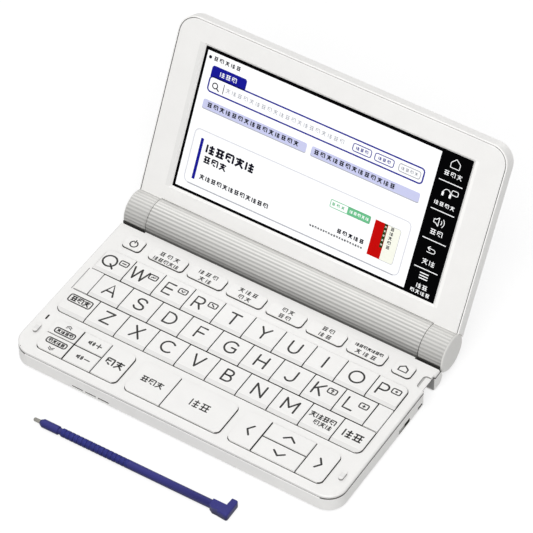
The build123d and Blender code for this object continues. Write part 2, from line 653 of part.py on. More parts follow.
# Lid cover: shallow tray behind the screen, wrapped round the barrel below,
# with a thin rim that stands round the bezel
with BuildPart() as lid_cover:
    with BuildSketch(LID_PLANE.offset(LID_BACK_N)):
        add(lid_outline(0, LID_LOW_U))
    extrude(amount=LID_THICK - LID_RIM_DROP)
    back = lid_cover.faces().sort_by(LID_AXIS)[0]
    chamfer(back.edges(), LID_CHAMFER)
    rim = lid_cover.faces().sort_by(LID_AXIS)[-1]
    chamfer(rim.edges().group_by(Axis.Z)[1:], RIM_CHAMFER)
    with BuildSketch(LID_PLANE.offset(BEZEL_BACK_N - BEZEL_LIFT)):
        add(lid_outline(LID_RIM, LID_LOW_U - 1))
    extrude(amount=BEZEL_THICK + 1, mode=Mode.SUBTRACT)
    with BuildSketch(LID_PLANE.offset(LID_BACK_N + LID_SKIN)):
        add(lid_outline(LID_WALL, TRAY_LOW_U))
    extrude(amount=LID_THICK, mode=Mode.SUBTRACT)
    # ribs that carry the display, posts that carry the bezel
    rib_n = BEZEL_BACK_N - GLASS_THICK - PANEL_THICK
    with BuildSketch(LID_PLANE.offset(LID_BACK_N + LID_SKIN / 2)):
        with Locations((0, SCREEN_LOW_U + 8.5), (0, SCREEN_TOP_U - 8.5)):
            Rectangle(2 * SCREEN_HALF - 16, 2.0)
    extrude(amount=rib_n - LID_BACK_N - LID_SKIN / 2)
    with BuildSketch(LID_PLANE.offset(LID_BACK_N + LID_SKIN / 2)):
        with Locations(*LID_POSTS):
            Rectangle(LID_POST, LID_POST)
    extrude(amount=BEZEL_BACK_N - LID_BACK_N - LID_SKIN / 2)
    add(hinge_cylinder(BARREL_R, -HALF_WIDTH - 1, HALF_WIDTH + 1), mode=Mode.SUBTRACT)
    room = BARREL_HALF + 0.1
    add(hinge_cylinder(BARREL_R + KNUCKLE_CLEARANCE, -room, room), mode=Mode.SUBTRACT)
lid_cover.part.label = "lid_cover"
export_step(lid_cover.part, "parts/lid_cover.step")

screen_u = (SCREEN_LOW_U + SCREEN_TOP_U) / 2
screen_high = SCREEN_TOP_U - SCREEN_LOW_U

# Lid bezel: face plate with a bevelled screen opening and an inner tongue
with BuildPart() as lid_bezel:
    with BuildSketch(LID_PLANE.offset(BEZEL_BACK_N)):
        add(lid_outline(LID_RIM + BEZEL_GAP, LID_LOW_U))
    extrude(amount=BEZEL_THICK)
    face = lid_bezel.faces().sort_by(LID_AXIS)[-1]
    chamfer(face.edges().group_by(Axis.Z)[1:], BEZEL_CHAMFER)
    with BuildSketch(LID_PLANE.offset(BEZEL_BACK_N - TONGUE_LENGTH)):
        add(lid_outline(LID_WALL + TONGUE_GAP, TRAY_LOW_U + TONGUE_GAP))
        inset = LID_WALL + TONGUE_THICK + TONGUE_GAP
        add(lid_outline(inset, TRAY_LOW_U + TONGUE_GAP + TONGUE_THICK), mode=Mode.SUBTRACT)
        with Locations(*LID_POSTS):
            Rectangle(LID_POST + 0.6, LID_POST + 0.6, mode=Mode.SUBTRACT)
    extrude(amount=TONGUE_LENGTH)
    with BuildSketch(LID_PLANE.offset(BEZEL_BACK_N)):
        with Locations((0, screen_u)):
            Rectangle(2 * SCREEN_HALF, screen_high)
    with BuildSketch(LID_PLANE.offset(LID_FACE_N)):
        with Locations((0, screen_u)):
            Rectangle(2 * (SCREEN_HALF + SCREEN_BEVEL), screen_high + 2 * SCREEN_BEVEL)
    loft(mode=Mode.SUBTRACT)
    add(hinge_cylinder(BARREL_R, -HALF_WIDTH - 1, HALF_WIDTH + 1), mode=Mode.SUBTRACT)
    add(hinge_cylinder(BARREL_R + KNUCKLE_CLEARANCE, -room, room), mode=Mode.SUBTRACT)
lid_bezel.part.label = "lid_bezel"
export_step(lid_bezel.part, "parts/lid_bezel.step")

# Display: touch glass on a metal-backed panel
with BuildPart() as display_module:
    for depth, thick, lap in ((0, GLASS_THICK, GLASS_LAP), (GLASS_THICK, PANEL_THICK, PANEL_LAP)):
        with BuildSketch(LID_PLANE.offset(BEZEL_BACK_N - depth)):
            with Locations((0, screen_u)):
                Rectangle(2 * (SCREEN_HALF + lap), screen_high + 2 * lap)
        extrude(amount=-thick)
display_module.part.label = "display_module"
export_step(display_module.part, "parts/display_module.step")

# Stylus: thin tip, ferrule, waisted grip, plain shaft and an L-shaped head.
# It lies on the table in front of the base, its foot level with the feet.
STYLUS_TURN = 0.8
STYLUS_AHEAD = 20.8
STYLUS_TIP_INSET = 25.6
STYLUS_PLANE = Plane(
    origin=(STYLUS_TIP_INSET - HALF_WIDTH, FRONT_Y - STYLUS_AHEAD, STYLUS_R - FOOT_H),
    x_dir=(cos(radians(STYLUS_TURN)), sin(radians(STYLUS_TURN)), 0),
    z_dir=(0, 0, 1),
)
TIP_R = 0.8
TIP_LENGTH = 3.0
FERRULE_END = 11.4
GROOVE_R = 1.35
GRIP_START = 12.7
GRIP_LENGTH = 30.7
GRIP_DEPTH = 0.3
with BuildPart() as stylus:
    head_start = STYLUS_LENGTH - HEAD_LENGTH
    with BuildSketch(STYLUS_PLANE):
        with BuildLine():
            Polyline(
                (0, 0),
                (0, TIP_R - 0.3),
                (0.35, TIP_R),
                (TIP_LENGTH, TIP_R),
                (TIP_LENGTH, TIP_R + 0.2),
                (TIP_LENGTH + 1.3, STYLUS_R),
                (FERRULE_END, STYLUS_R),
                (FERRULE_END, GROOVE_R),
                (GRIP_START, GROOVE_R),
                (GRIP_START, STYLUS_R - GRIP_DEPTH),
                (GRIP_START + GRIP_LENGTH, STYLUS_R - GRIP_DEPTH),
                (GRIP_START + GRIP_LENGTH, STYLUS_R),
                (head_start + 1, STYLUS_R),
                (head_start + 1, 0),
                close=True,
            )
        make_face()
    revolve(axis=Axis(STYLUS_PLANE.origin, STYLUS_PLANE.x_dir))
    bulge = BAY_Y - NOTCH_FRONT_Y - HEAD_CLEARANCE
    reach = NOTCH_REAR_Y - BAY_Y - HEAD_CLEARANCE
    arm_start = STYLUS_LENGTH - HEAD_ARM
    with BuildSketch(STYLUS_PLANE.offset(-STYLUS_R)) as head:
        with BuildLine():
            Polyline(
                (head_start, 0.25 - STYLUS_R),
                (head_start + 1.7, 0.7 - bulge),
                (head_start + 4.2, 0.4 - bulge),
                (STYLUS_LENGTH, -bulge),
                (STYLUS_LENGTH, reach),
                (arm_start, reach),
                (arm_start, STYLUS_R - 0.15),
                (head_start, STYLUS_R - 0.15),
                close=True,
            )
        make_face()
        fillet(head.vertices().sort_by(STYLUS_PLANE.location.x_axis)[-2:], 0.9)
    extrude(amount=2 * STYLUS_R)
stylus.part.label = "stylus"
export_step(stylus.part, "parts/stylus.step")


def is_corner_of(vertex, well):
    at_side = min(abs(vertex.X - well[0]), abs(vertex.X - well[1])) < 1
    at_end = min(abs(vertex.Y - well[2]), abs(vertex.Y - well[3])) < 1
    return at_side and at_end


def key_cap(cell):
    # a cap on a short stem; corners in a well's corner follow the well
    x0, x1, y0, y1, slope = cell
    left, right = x0 + KEY_GAP, x1 - KEY_GAP
    front, rear = y0 + KEY_GAP, y1 - KEY_GAP
    x, y = cell_centre(cell)
    rounded = False
    with BuildPart() as cap:
        with BuildSketch(Plane.XY.offset(CAP_BOTTOM_Z)) as plan:
            with Locations((x, y)):
                Rectangle(right - left, rear - front)
            for well in WELLS:
                corners = [v for v in plan.vertices() if is_corner_of(v, well)]
                if corners:
                    fillet(corners, well[4] - KEY_GAP)
                    rounded = True
        extrude(amount=CAP_H)
        if slope:
            top_edges = cap.faces().sort_by(Axis.Z)[-1].edges()
            chamfer(top_edges.group_by(Axis.Y)[-1], REAR_CHAMFER)
            with BuildSketch(Plane.YZ.offset(left - 1)):
                with BuildLine():
                    Polyline(
                        (front + SLOPE_DEPTH, KEY_TOP_Z),
                        (front, KEY_TOP_Z - SLOPE_FALL),
                        (front - 1, KEY_TOP_Z - SLOPE_FALL),
                        (front - 1, KEY_TOP_Z + 1),
                        (front + SLOPE_DEPTH, KEY_TOP_Z + 1),
                        close=True,
                    )
                make_face()
            extrude(amount=right - left + 2, mode=Mode.SUBTRACT)
        elif not rounded:
            chamfer(cap.faces().sort_by(Axis.Z)[-1].edges(), CAP_CHAMFER)
        with BuildSketch(Plane.XY.offset(STEM_END_Z)):
            with Locations((x, y)):
                Rectangle(SHEET_PAD, SHEET_PAD)
        extrude(amount=STEM_H + 0.2)
    return cap.part


for key_name, cell in KEYS.items():
    with BuildPart() as key:
        add(key_cap(cell))
    key.part.label = key_name
    export_step(key.part, "parts/" + key_name + ".step")
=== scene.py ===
from math import asin, cos, pi, radians, sin

import bmesh
import bpy
from mathutils import Matrix, Vector


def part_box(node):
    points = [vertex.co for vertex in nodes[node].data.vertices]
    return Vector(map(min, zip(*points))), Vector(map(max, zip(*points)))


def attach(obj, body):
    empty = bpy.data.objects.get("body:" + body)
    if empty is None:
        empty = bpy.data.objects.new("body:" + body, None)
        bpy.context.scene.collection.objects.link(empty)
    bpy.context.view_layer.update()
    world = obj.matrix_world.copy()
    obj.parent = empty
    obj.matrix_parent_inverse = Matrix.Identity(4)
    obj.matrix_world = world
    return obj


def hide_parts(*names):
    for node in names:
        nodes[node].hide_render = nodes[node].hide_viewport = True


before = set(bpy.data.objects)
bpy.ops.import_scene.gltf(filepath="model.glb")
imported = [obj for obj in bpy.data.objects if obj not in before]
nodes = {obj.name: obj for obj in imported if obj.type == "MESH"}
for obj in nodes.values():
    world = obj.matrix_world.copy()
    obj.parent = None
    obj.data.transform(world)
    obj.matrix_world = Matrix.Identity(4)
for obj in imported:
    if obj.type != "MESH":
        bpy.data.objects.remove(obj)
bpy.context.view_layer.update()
mm = 0.001
toFrame = Matrix.Scale(mm, 4)  # from a drawing in mm to the frame
print("frame loaded:", len(nodes), "nodes")


def linear(red, green, blue):  # screen colour, 0 to 255, to a shader colour
    channels = []
    for value in (red, green, blue):
        share = value / 255
        channels.append(share / 12.92 if share <= 0.04045 else ((share + 0.055) / 1.055) ** 2.4)
    return (*channels, 1.0)


def grey(share):
    return (share, share, share, 1.0)


def setInputs(tree, node, settings):  # by name or number: a link from another socket, or a plain value
    for place, value in settings.items():
        if isinstance(value, bpy.types.NodeSocket):
            tree.links.new(value, node.inputs[place])
        else:
            node.inputs[place].default_value = value
    return node


def addNode(tree, kind, settings):
    return setInputs(tree, tree.nodes.new(kind), settings)


def startMaterial(name):  # every pattern reads Object coordinates, in metres
    material = bpy.data.materials.new(name)
    material.use_nodes = True
    tree = material.node_tree
    coords = tree.nodes.new("ShaderNodeTexCoord").outputs["Object"]
    return material, tree, tree.nodes["Principled BSDF"], coords


def addNoise(tree, coords, size, detail=2.0):
    settings = {"Scale": 1 / (size * mm), "Detail": detail, "Vector": coords}
    return addNode(tree, "ShaderNodeTexNoise", settings).outputs["Fac"]


noiseSpan = (0.3, 0.7)  # nearly all of a noise texture's values lie in here


def addRange(tree, source, low, high):
    settings = {"Value": source, "From Min": noiseSpan[0], "From Max": noiseSpan[1],
                "To Min": low, "To Max": high}
    return addNode(tree, "ShaderNodeMapRange", settings).outputs["Result"]


def addTint(tree, source, colour, spread, span=noiseSpan):
    # a little darker where the source is low, a little lighter where it is high
    ramp = addNode(tree, "ShaderNodeValToRGB", {"Fac": source})
    for element, place, share in zip(ramp.color_ramp.elements, span, (1 - spread, 1 + spread)):
        element.position = place
        element.color = tuple(min(1.0, c * share) for c in linear(*colour)[:3]) + (1.0,)
    return ramp.outputs["Color"]


def mixed(tree, mask, first, second, way="MIX"):
    blend = tree.nodes.new("ShaderNodeMix")
    blend.data_type = "RGBA"
    blend.blend_type = way
    return setInputs(tree, blend, {0: mask, 6: first, 7: second}).outputs[2]


def calc(tree, operation, *values):
    node = tree.nodes.new("ShaderNodeMath")
    node.operation = operation
    return setInputs(tree, node, dict(enumerate(values))).outputs[0]


def product(tree, first, *others):
    for value in others:
        first = calc(tree, "MULTIPLY", first, value)
    return first


def largest(tree, first, *others):
    for value in others:
        first = calc(tree, "MAXIMUM", first, value)
    return first


# masks: 1 where the words hold, 0 elsewhere
def between(tree, value, low, high):
    return calc(tree, "COMPARE", value, (low + high) / 2, (high - low) / 2)


def above(tree, value, limit):
    return calc(tree, "GREATER_THAN", value, limit)


def below(tree, value, limit):
    return calc(tree, "LESS_THAN", value, limit)


def outside(tree, mask):
    return calc(tree, "SUBTRACT", 1.0, mask)


def nearAny(tree, value, places, reach):
    return largest(tree, 0.0, *[between(tree, value, place - reach, place + reach) for place in places])


def inBox(tree, spot, ranges):  # ranges across, along and up
    return product(tree, 1.0, *[between(tree, value, low, high) for value, (low, high) in zip(spot, ranges)])


def shaded(tree, spot, places, toned=grey(1.0)):
    # each place holds its ranges, and then the share of the light that is left there
    for *ranges, share in places:
        toned = mixed(tree, inBox(tree, spot, ranges), toned, grey(share))
    return toned


def drawingPlane(tree, coords, origin=(0, 0, 0), lean=0):
    # across, along and up from an origin, in mm, on a plane that leans back
    place = [value * mm for value in origin]
    settings = {"Vector": coords, "Location": place, "Rotation": (radians(lean), 0, 0), "Scale": (mm, mm, mm)}
    spot = addNode(tree, "ShaderNodeMapping", settings)
    spot.vector_type = "TEXTURE"
    return addNode(tree, "ShaderNodeSeparateXYZ", {"Vector": spot.outputs["Vector"]}).outputs


hinge = {"centre": (0.0, 39.2, 10.0), "lean": 64}
outline = {"halfWidth": 74.0, "corner": 8.0, "front": 47.35, "lidTop": 86.55, "straight": 67.0}


def edgeInset(tree, across, along, reach):
    # how far in from the outline, which has two rounded corners at its far end
    corner = outline["corner"]
    side = calc(tree, "SUBTRACT", calc(tree, "ABSOLUTE", across), outline["halfWidth"] - corner)
    end = calc(tree, "SUBTRACT", along, reach - corner)
    side, end = largest(tree, side, 0.0), largest(tree, end, 0.0)
    squares = calc(tree, "ADD", product(tree, side, side), product(tree, end, end))
    return calc(tree, "SUBTRACT", corner, calc(tree, "SQRT", squares))


def frontInset(tree, across, along):
    return edgeInset(tree, across, product(tree, along, -1.0), outline["front"])


def atSides(tree, across):
    return above(tree, calc(tree, "ABSOLUTE", across), outline["straight"])


caps = {"first": -23.05, "pitch": 12.885, "rows": 3, "depth": 1.8, "fall": 0.35, "margin": 0.1,
        "lightFronts": (-43.2, -23.05), "lightReach": 0.15, "lightFoot": 9.3,
        "flatFronts": (-43.2, -34.5, 19.1), "flatReach": 0.06, "shoulder": 9.76, "side": 9.58,
        "slopes": [((9.58, 9.98), 0.86)]}


def capGapShade(tree, coords):  # painted shade on the sides of a key cap; two rows keep a lighter front
    along, up = drawingPlane(tree, coords)[1:]
    first, pitch = caps["first"], caps["pitch"]
    # how far the sloped front of a letter key lies below its flat top
    behind = calc(tree, "SUBTRACT", calc(tree, "WRAP", along, first + pitch, first), first)
    share = largest(tree, calc(tree, "SUBTRACT", 1.0, calc(tree, "DIVIDE", behind, caps["depth"])), 0.0)
    letters = between(tree, along, first - caps["margin"], first + caps["rows"] * pitch)
    drop = product(tree, share, letters, caps["fall"])
    shoulder = product(tree, below(tree, calc(tree, "ADD", up, drop), caps["shoulder"]),
                       outside(tree, nearAny(tree, along, caps["flatFronts"], caps["flatReach"])))
    light = product(tree, nearAny(tree, along, caps["lightFronts"], caps["lightReach"]),
                    above(tree, up, caps["lightFoot"]))
    return product(tree, largest(tree, shoulder, below(tree, up, caps["side"])), outside(tree, light))


def capPaintedShade(tree, coords):  # painted shade: the sloped front edge of a cap takes a little less light
    return shaded(tree, drawingPlane(tree, coords)[2:], caps["slopes"])


deck = {"wells": ((-70.4, 69.86), (-45.9, 29.0)), "wellSide": 9.1, "seam": 7.87, "sideSeam": 7.95,
        "rim": 0.12, "wallTop": 8.74, "wallShare": 0.84}
# places of painted shade on the deck
deckShadePlaces = [
    ((70.2, 71.0), (17.4, 24.7), (8.3, 8.4), 0.6),  # floor of the finger recess
    ((70.2, 74.5), (17.4, 24.7), (8.4, 9.17), 0.32),  # and its sides
    ((-70.75, -70.35), (-10.4, 2.4), (9.15, 9.25), 0.35),  # edge of the left pad
]
# places of painted shade, on both sides
pairedShadePlaces = [
    ((67.4, 72.0), (-36.2, -34.1), (10.17, 10.25), 0.9),  # tops of the bumpers
    ((68.6, 70.8), (-37.6, -32.7), (9.22, 10.17), 0.32),  # and their sides
    ((63.2, 74.5), (30.25, 31.5), (8.6, 9.3), 0.12),  # under the knobs
]


def upperCaseGapShade(tree, coords):  # painted shade in the key wells, and along the seam over the lower case
    across, along, up = drawingPlane(tree, coords)
    wells = product(tree, inBox(tree, (across, along), deck["wells"]), below(tree, up, deck["wellSide"]))
    seam = product(tree, below(tree, up, deck["seam"]),
                   above(tree, frontInset(tree, across, along), deck["rim"]))
    sides = product(tree, atSides(tree, across), below(tree, up, deck["sideSeam"]))
    return largest(tree, wells, seam, sides)


def deckPaintedShade(tree, coords):  # painted shade: a darker side wall, and the places listed above
    across, along, up = drawingPlane(tree, coords)
    wall = product(tree, below(tree, frontInset(tree, across, along), deck["rim"]),
                   below(tree, up, deck["wallTop"]))
    toned = mixed(tree, wall, grey(1.0), grey(deck["wallShare"]))
    toned = shaded(tree, (across, along, up), deckShadePlaces, toned)
    return shaded(tree, (calc(tree, "ABSOLUTE", across), along, up), pairedShadePlaces, toned)


tray = {"seam": 7.29, "sideSeam": 7.2, "rim": 0.13, "skin": 0.08, "inside": (1.05, 7.25), "rear": 27.0,
        "notchSide": 69.85, "notch": (17.5, 27.0)}
# places of painted light and shade on the lower case
trayLightPlaces = [
    ((-67.0, 67.0), (-47.4, -47.2), (6.7, 7.5), 1.1),  # painted highlight on the front rim
    ((69.8, 73.6), (26.4, 26.6), (0.5, 7.45), 0.3),  # painted shade on the rear wall of the stylus notch
]


def trayPaintedLight(tree, coords):
    return shaded(tree, drawingPlane(tree, coords), trayLightPlaces)


def lowerCaseGapShade(tree, coords):  # painted shade in the seam, slits, socket and strap slot
    across, along, up = drawingPlane(tree, coords)
    inset = frontInset(tree, across, along)
    sides = product(tree, atSides(tree, across), above(tree, up, tray["sideSeam"]))
    seam = product(tree, above(tree, up, tray["seam"]), above(tree, inset, tray["rim"]))
    notch = product(tree, above(tree, across, tray["notchSide"]), between(tree, along, *tray["notch"]))
    inside = product(tree, above(tree, inset, tray["skin"]), between(tree, up, *tray["inside"]),
                     below(tree, along, tray["rear"]), outside(tree, notch))
    return largest(tree, seam, sides, inside)


# each seam's painted shade: from and to, in from the lid's outline, and how deep
lid = {"coverSeam": (0.36, 1.4, -1.4), "bezelSeam": (0.6, 1.0, -1.3), "rimTop": -0.68, "seamLoss": 0.75,
       "wall": 0.45, "wallShare": 1.09,
       "slopes": [((-63.1, -60.3), (14.6, 77.6), 0.92), ((60.3, 62.6), (14.6, 77.6), 1.09)]}


def coverPaintedLight(tree, coords):  # painted light on the lid's outer wall and rim
    across, along, up = drawingPlane(tree, coords, hinge["centre"], hinge["lean"])
    wall = below(tree, edgeInset(tree, across, along, outline["lidTop"]), lid["wall"])
    return mixed(tree, wall, grey(1.0), grey(lid["wallShare"]))


def bezelPaintedLight(tree, coords):  # painted shade on the shallow slope left of the display, painted light on the one right of it
    spot = drawingPlane(tree, coords, hinge["centre"], hinge["lean"])
    return shaded(tree, spot[:2], lid["slopes"])


def lidSeamShade(low, high, deep):
    # painted shade in the seam between the bezel and the rim round it, fainter along the top than at the
    # sides
    def mask(tree, coords):
        across, along, up = drawingPlane(tree, coords, hinge["centre"], hinge["lean"])
        inset = edgeInset(tree, across, along, outline["lidTop"])
        middle = between(tree, across, -outline["straight"], outline["straight"])
        return product(tree, between(tree, inset, low, high), between(tree, up, deep, lid["rimTop"]),
                       outside(tree, product(tree, middle, lid["seamLoss"])))
    return mask


grip = {"tip": (-48.4, -68.15, 1.15), "turn": 0.8, "start": 13.85, "pitch": 1.92, "count": 16,
        "outer": 1.75, "length": 1.62, "sides": 24, "round": 0.22, "steps": 3, "tipEnd": -45.35,
        "darkest": 0.3}


def stylusPaintedShade(tree, coords):  # painted shade, darker towards its underside
    up = drawingPlane(tree, coords, grip["tip"])[2]
    share = calc(tree, "MULTIPLY_ADD", up, 0.5 / grip["outer"], 0.5)
    share = calc(tree, "MINIMUM", largest(tree, share, grip["darkest"]), 1.0)
    return mixed(tree, share, grey(0.0), grey(1.0))


def stylusTip(tree, coords):  # the soft tip is of another plastic
    return below(tree, drawingPlane(tree, coords)[0], grip["tipEnd"])


barrel = {"radius": 8.15, "proud": 0.15, "ribs": 34, "firstGroove": 87.0, "skin": 0.12, "steps": 6,
          "discX": 73.46, "shellX": (-62.95, 62.95), "doorX": (-54.7, 54.7), "knobX": (63.75, 73.4)}


def barrelPaintedLight(stops, discShare=1.0):
    # painted light and shade by the turn round the hinge in degrees: 0 is the rear, 90 the top, 180 the
    # front; painted shade in the rib grooves, and one plain share on the end discs
    def tone(tree, coords):
        across, along, up = drawingPlane(tree, coords, hinge["centre"])
        angle = calc(tree, "ARCTAN2", up, along)
        turn = calc(tree, "FRACT", calc(tree, "DIVIDE", angle, 2 * pi))
        ramp = addNode(tree, "ShaderNodeValToRGB", {"Fac": turn})
        elements = ramp.color_ramp.elements
        for number, (degrees, share, groove) in enumerate(stops):  # a new ramp holds two elements
            element = elements[number] if number < 2 else elements.new(1.0)
            element.position = degrees / 360
            element.color = (share, share, share, groove)
        phase = calc(tree, "SUBTRACT", angle, radians(barrel["firstGroove"]))
        wave = calc(tree, "COSINE", product(tree, phase, float(barrel["ribs"])))
        groove = calc(tree, "SUBTRACT", 1.0, product(tree, wave, ramp.outputs["Alpha"]))
        ribbed = mixed(tree, 1.0, ramp.outputs["Color"], groove, "MULTIPLY")
        disc = above(tree, calc(tree, "ABSOLUTE", across), barrel["discX"])
        return mixed(tree, disc, ribbed, grey(discShare))
    return tone


# turn, share of painted light, depth of the grooves' painted shade
shellPaintedLight = barrelPaintedLight([(0, 0.95, 0.15), (62, 0.92, 0.12), (86, 1.28, 0.14), (108, 1.08, 0.27),
                        (134, 0.88, 0.24), (155, 0.72, 0.3), (170, 0.45, 0.32), (185, 0.2, 0.3),
                        (215, 0.9, 0.2), (359, 0.95, 0.15)])
knobPaintedLight = barrelPaintedLight([(0, 0.95, 0.15), (62, 0.96, 0.12), (86, 1.16, 0.14), (108, 1.05, 0.17),
                       (134, 0.88, 0.16), (156, 0.76, 0.2), (184, 0.58, 0.28), (215, 0.82, 0.2),
                       (359, 0.95, 0.15)], 1.35)

moulding = {"flecks": 3.0, "gloss": 0.04, "relief": 0.35, "gapShade": (54, 52, 49)}


def mouldedPlastic(name, colour, roughness=0.42, grain=0.18, bump=0.012, spread=0.012, cloud=9.0,
                   gaps=None, tone=None, shade=moulding["gapShade"], specular=0.5):
    # fine spark-eroded grain over a very faint cloudiness of the tint
    material, tree, shader, coords = startMaterial(name)
    painted = addTint(tree, addNoise(tree, coords, cloud), colour, spread)
    # painted light and shade, multiplied into the colour
    if tone is not None:
        painted = mixed(tree, 1.0, painted, tone(tree, coords), "MULTIPLY")
    # painted shade in gaps and seams, or the stylus tip's own colour
    if gaps is not None:
        painted = mixed(tree, gaps(tree, coords), painted, linear(*shade))
    fine = addNoise(tree, coords, grain, moulding["flecks"])
    gloss = addRange(tree, fine, roughness - moulding["gloss"], roughness + moulding["gloss"])
    relief = {"Strength": moulding["relief"], "Distance": bump * mm, "Height": fine}
    raised = addNode(tree, "ShaderNodeBump", relief).outputs["Normal"]
    setInputs(tree, shader, {"Base Color": painted, "Roughness": gloss, "Normal": raised,
                             "Specular IOR Level": specular})
    return material


panel = {"dot": 0.12, "span": (0.35, 0.65), "spread": 0.006, "roughness": 0.5, "specular": 0.04}


def litPanel(name, colour, glow):
    # a patch of the display, with a fine dot pitch and a little light of its own
    material, tree, shader, coords = startMaterial(name)
    dots = addTint(tree, addNoise(tree, coords, panel["dot"]), colour, panel["spread"], panel["span"])
    setInputs(tree, shader, {"Base Color": dots, "Emission Color": linear(*colour), "Emission Strength": glow,
                             "Roughness": panel["roughness"], "Specular IOR Level": panel["specular"]})
    return material


ink = {"colour": (28, 27, 26), "mottle": 0.3, "spread": 0.12, "span": (0.0, 1.0), "gloss": (0.45, 0.6)}


def inkMaterial(name):
    # pad-printed ink, slightly uneven in gloss
    material, tree, shader, coords = startMaterial(name)
    mottle = addNoise(tree, coords, ink["mottle"])
    setInputs(tree, shader, {"Base Color": addTint(tree, mottle, ink["colour"], ink["spread"], ink["span"]),
                             "Roughness": addRange(tree, mottle, *ink["gloss"])})
    return material


finishes = {
    # the upper case is a little darker than the other whites: painted shade on its up-facing deck
    "upperCaseWhite": {"colour": (241, 240, 238), "gaps": upperCaseGapShade, "tone": deckPaintedShade},
    "lowerCaseWhite": {"colour": (244, 243, 241), "gaps": lowerCaseGapShade, "tone": trayPaintedLight},
    "coverWhite": {"colour": (244, 243, 241), "gaps": lidSeamShade(*lid["coverSeam"]), "tone": coverPaintedLight},
    "bezelWhite": {"colour": (244, 243, 241), "gaps": lidSeamShade(*lid["bezelSeam"]), "tone": bezelPaintedLight},
    "keyWhite": {"colour": (241, 240, 238), "roughness": 0.4, "grain": 0.14, "gaps": capGapShade,
                 "tone": capPaintedShade},
    "barrelGrey": {"colour": (198, 197, 194), "roughness": 0.36, "grain": 0.12, "bump": 0.008,
                   "tone": shellPaintedLight},
    "knobGrey": {"colour": (198, 197, 194), "roughness": 0.36, "grain": 0.12, "bump": 0.008,
                 "tone": knobPaintedLight},
    "stylusBlue": {"colour": (56, 56, 126), "roughness": 0.4, "grain": 0.2, "bump": 0.01, "spread": 0.05,
                   "gaps": stylusTip, "tone": stylusPaintedShade, "shade": (150, 148, 142), "specular": 0.15},
    "gripBlue": {"colour": (45, 49, 124), "grain": 0.2, "bump": 0.01, "spread": 0.05, "tone": stylusPaintedShade,
                 "specular": 0.15},
    "rubberGrey": {"colour": (70, 70, 68), "roughness": 0.7, "grain": 0.3},
    # a dark stand-in for the shade under the knobs
    "lipBlack": {"colour": (40, 39, 37), "roughness": 0.6, "grain": 0.2},
    "tongueGrey": {"colour": (160, 160, 156), "roughness": 0.4, "grain": 0.2},
    "boardGreen": {"colour": (28, 96, 60), "roughness": 0.35, "grain": 0.5, "spread": 0.15, "cloud": 3},
    "cellSkin": {"colour": (120, 124, 130), "roughness": 0.3, "grain": 0.4},
    "screenBlack": {"colour": (3, 3, 4), "roughness": 0.12, "grain": 0.5, "bump": 0.001, "spread": 0.1,
                    "specular": 0.012},
}
plastic = {name: mouldedPlastic(name, **look) for name, look in finishes.items()}
legendInk = inkMaterial("legendInk")

keyNodes = sorted(n for n in nodes if n.startswith("key_") and n != "key_sheet")
coats = {"lower_case": "lowerCaseWhite", "upper_case": "upperCaseWhite", "lid_cover": "coverWhite",
         "lid_bezel": "bezelWhite", "barrel_shell": "barrelGrey", "battery_cover": "barrelGrey",
         "hinge_knuckles": "knobGrey", "key_sheet": "rubberGrey", "main_board": "boardGreen",
         "batteries": "cellSkin", "display_module": "screenBlack", "stylus": "stylusBlue"}
coats.update({node: "keyWhite" for node in keyNodes})
for node, finish in coats.items():
    mesh = nodes[node].data
    mesh.materials.clear()
    mesh.materials.append(plastic[finish])
print("CAD nodes painted")


def finishPiece(name, mesh, body, materials):
    for material in materials:
        mesh.materials.append(material)
    piece = bpy.data.objects.new(name, mesh)
    bpy.context.scene.collection.objects.link(piece)
    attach(piece, body)
    return piece


def meshFrom(name, bm, place=None, smooth=False):
    if place is not None:
        bm.transform(place)
    bmesh.ops.recalc_face_normals(bm, faces=bm.faces)
    mesh = bpy.data.meshes.new(name)
    bm.to_mesh(mesh)
    bm.free()
    for polygon in mesh.polygons:
        polygon.use_smooth = smooth
    return mesh


def merge(bm, part, index=0):
    # adds one small bmesh to a bigger one, with a material index
    for face in part.faces:
        face.material_index = index
    scratch = bpy.data.meshes.new("scratch")
    part.to_mesh(scratch)
    part.free()
    bm.from_mesh(scratch)
    bpy.data.meshes.remove(scratch)


cornerSteps = 5


def addPlate(bm, box, radius, low, high, index=0):
    # flat plate x0, y0, x1, y1 with rounded corners, from height low to high
    x0, y0, x1, y1 = box
    part = bmesh.new()
    bmesh.ops.create_grid(part, x_segments=1, y_segments=1, size=0.5)
    bmesh.ops.scale(part, vec=(x1 - x0, y1 - y0, 1), verts=part.verts)
    bmesh.ops.translate(part, vec=((x0 + x1) / 2, (y0 + y1) / 2, low), verts=part.verts)
    if radius > 0:
        bmesh.ops.bevel(part, geom=part.verts[:], offset=radius, offset_type="OFFSET",
                        segments=cornerSteps, profile=0.5, affect="VERTICES", material=-1)
    grown = bmesh.ops.extrude_face_region(part, geom=part.faces[:])
    top = [item for item in grown["geom"] if isinstance(item, bmesh.types.BMVert)]
    bmesh.ops.translate(part, vec=(0, 0, high - low), verts=top)
    bmesh.ops.recalc_face_normals(part, faces=part.faces)
    merge(bm, part, index)


def addBar(bm, x0, y0, x1, y1, width, low, high, index=0):
    # straight bar between two points
    part = bmesh.new()
    run = Vector((x1 - x0, y1 - y0, 0))
    middle = Vector(((x0 + x1) / 2, (y0 + y1) / 2, (low + high) / 2))
    turn = run.to_track_quat("X", "Z").to_matrix().to_4x4()
    size = Matrix.Diagonal((run.length, width, high - low, 1))
    bmesh.ops.create_cube(part, size=1, matrix=Matrix.Translation(middle) @ turn @ size)
    merge(bm, part, index)


def arc(cx, cy, rx, ry, start, end, steps=10):
    points = []
    for k in range(steps + 1):
        angle = radians(start + (end - start) * k / steps)
        points.append((cx + rx * cos(angle), cy + ry * sin(angle)))
    return points


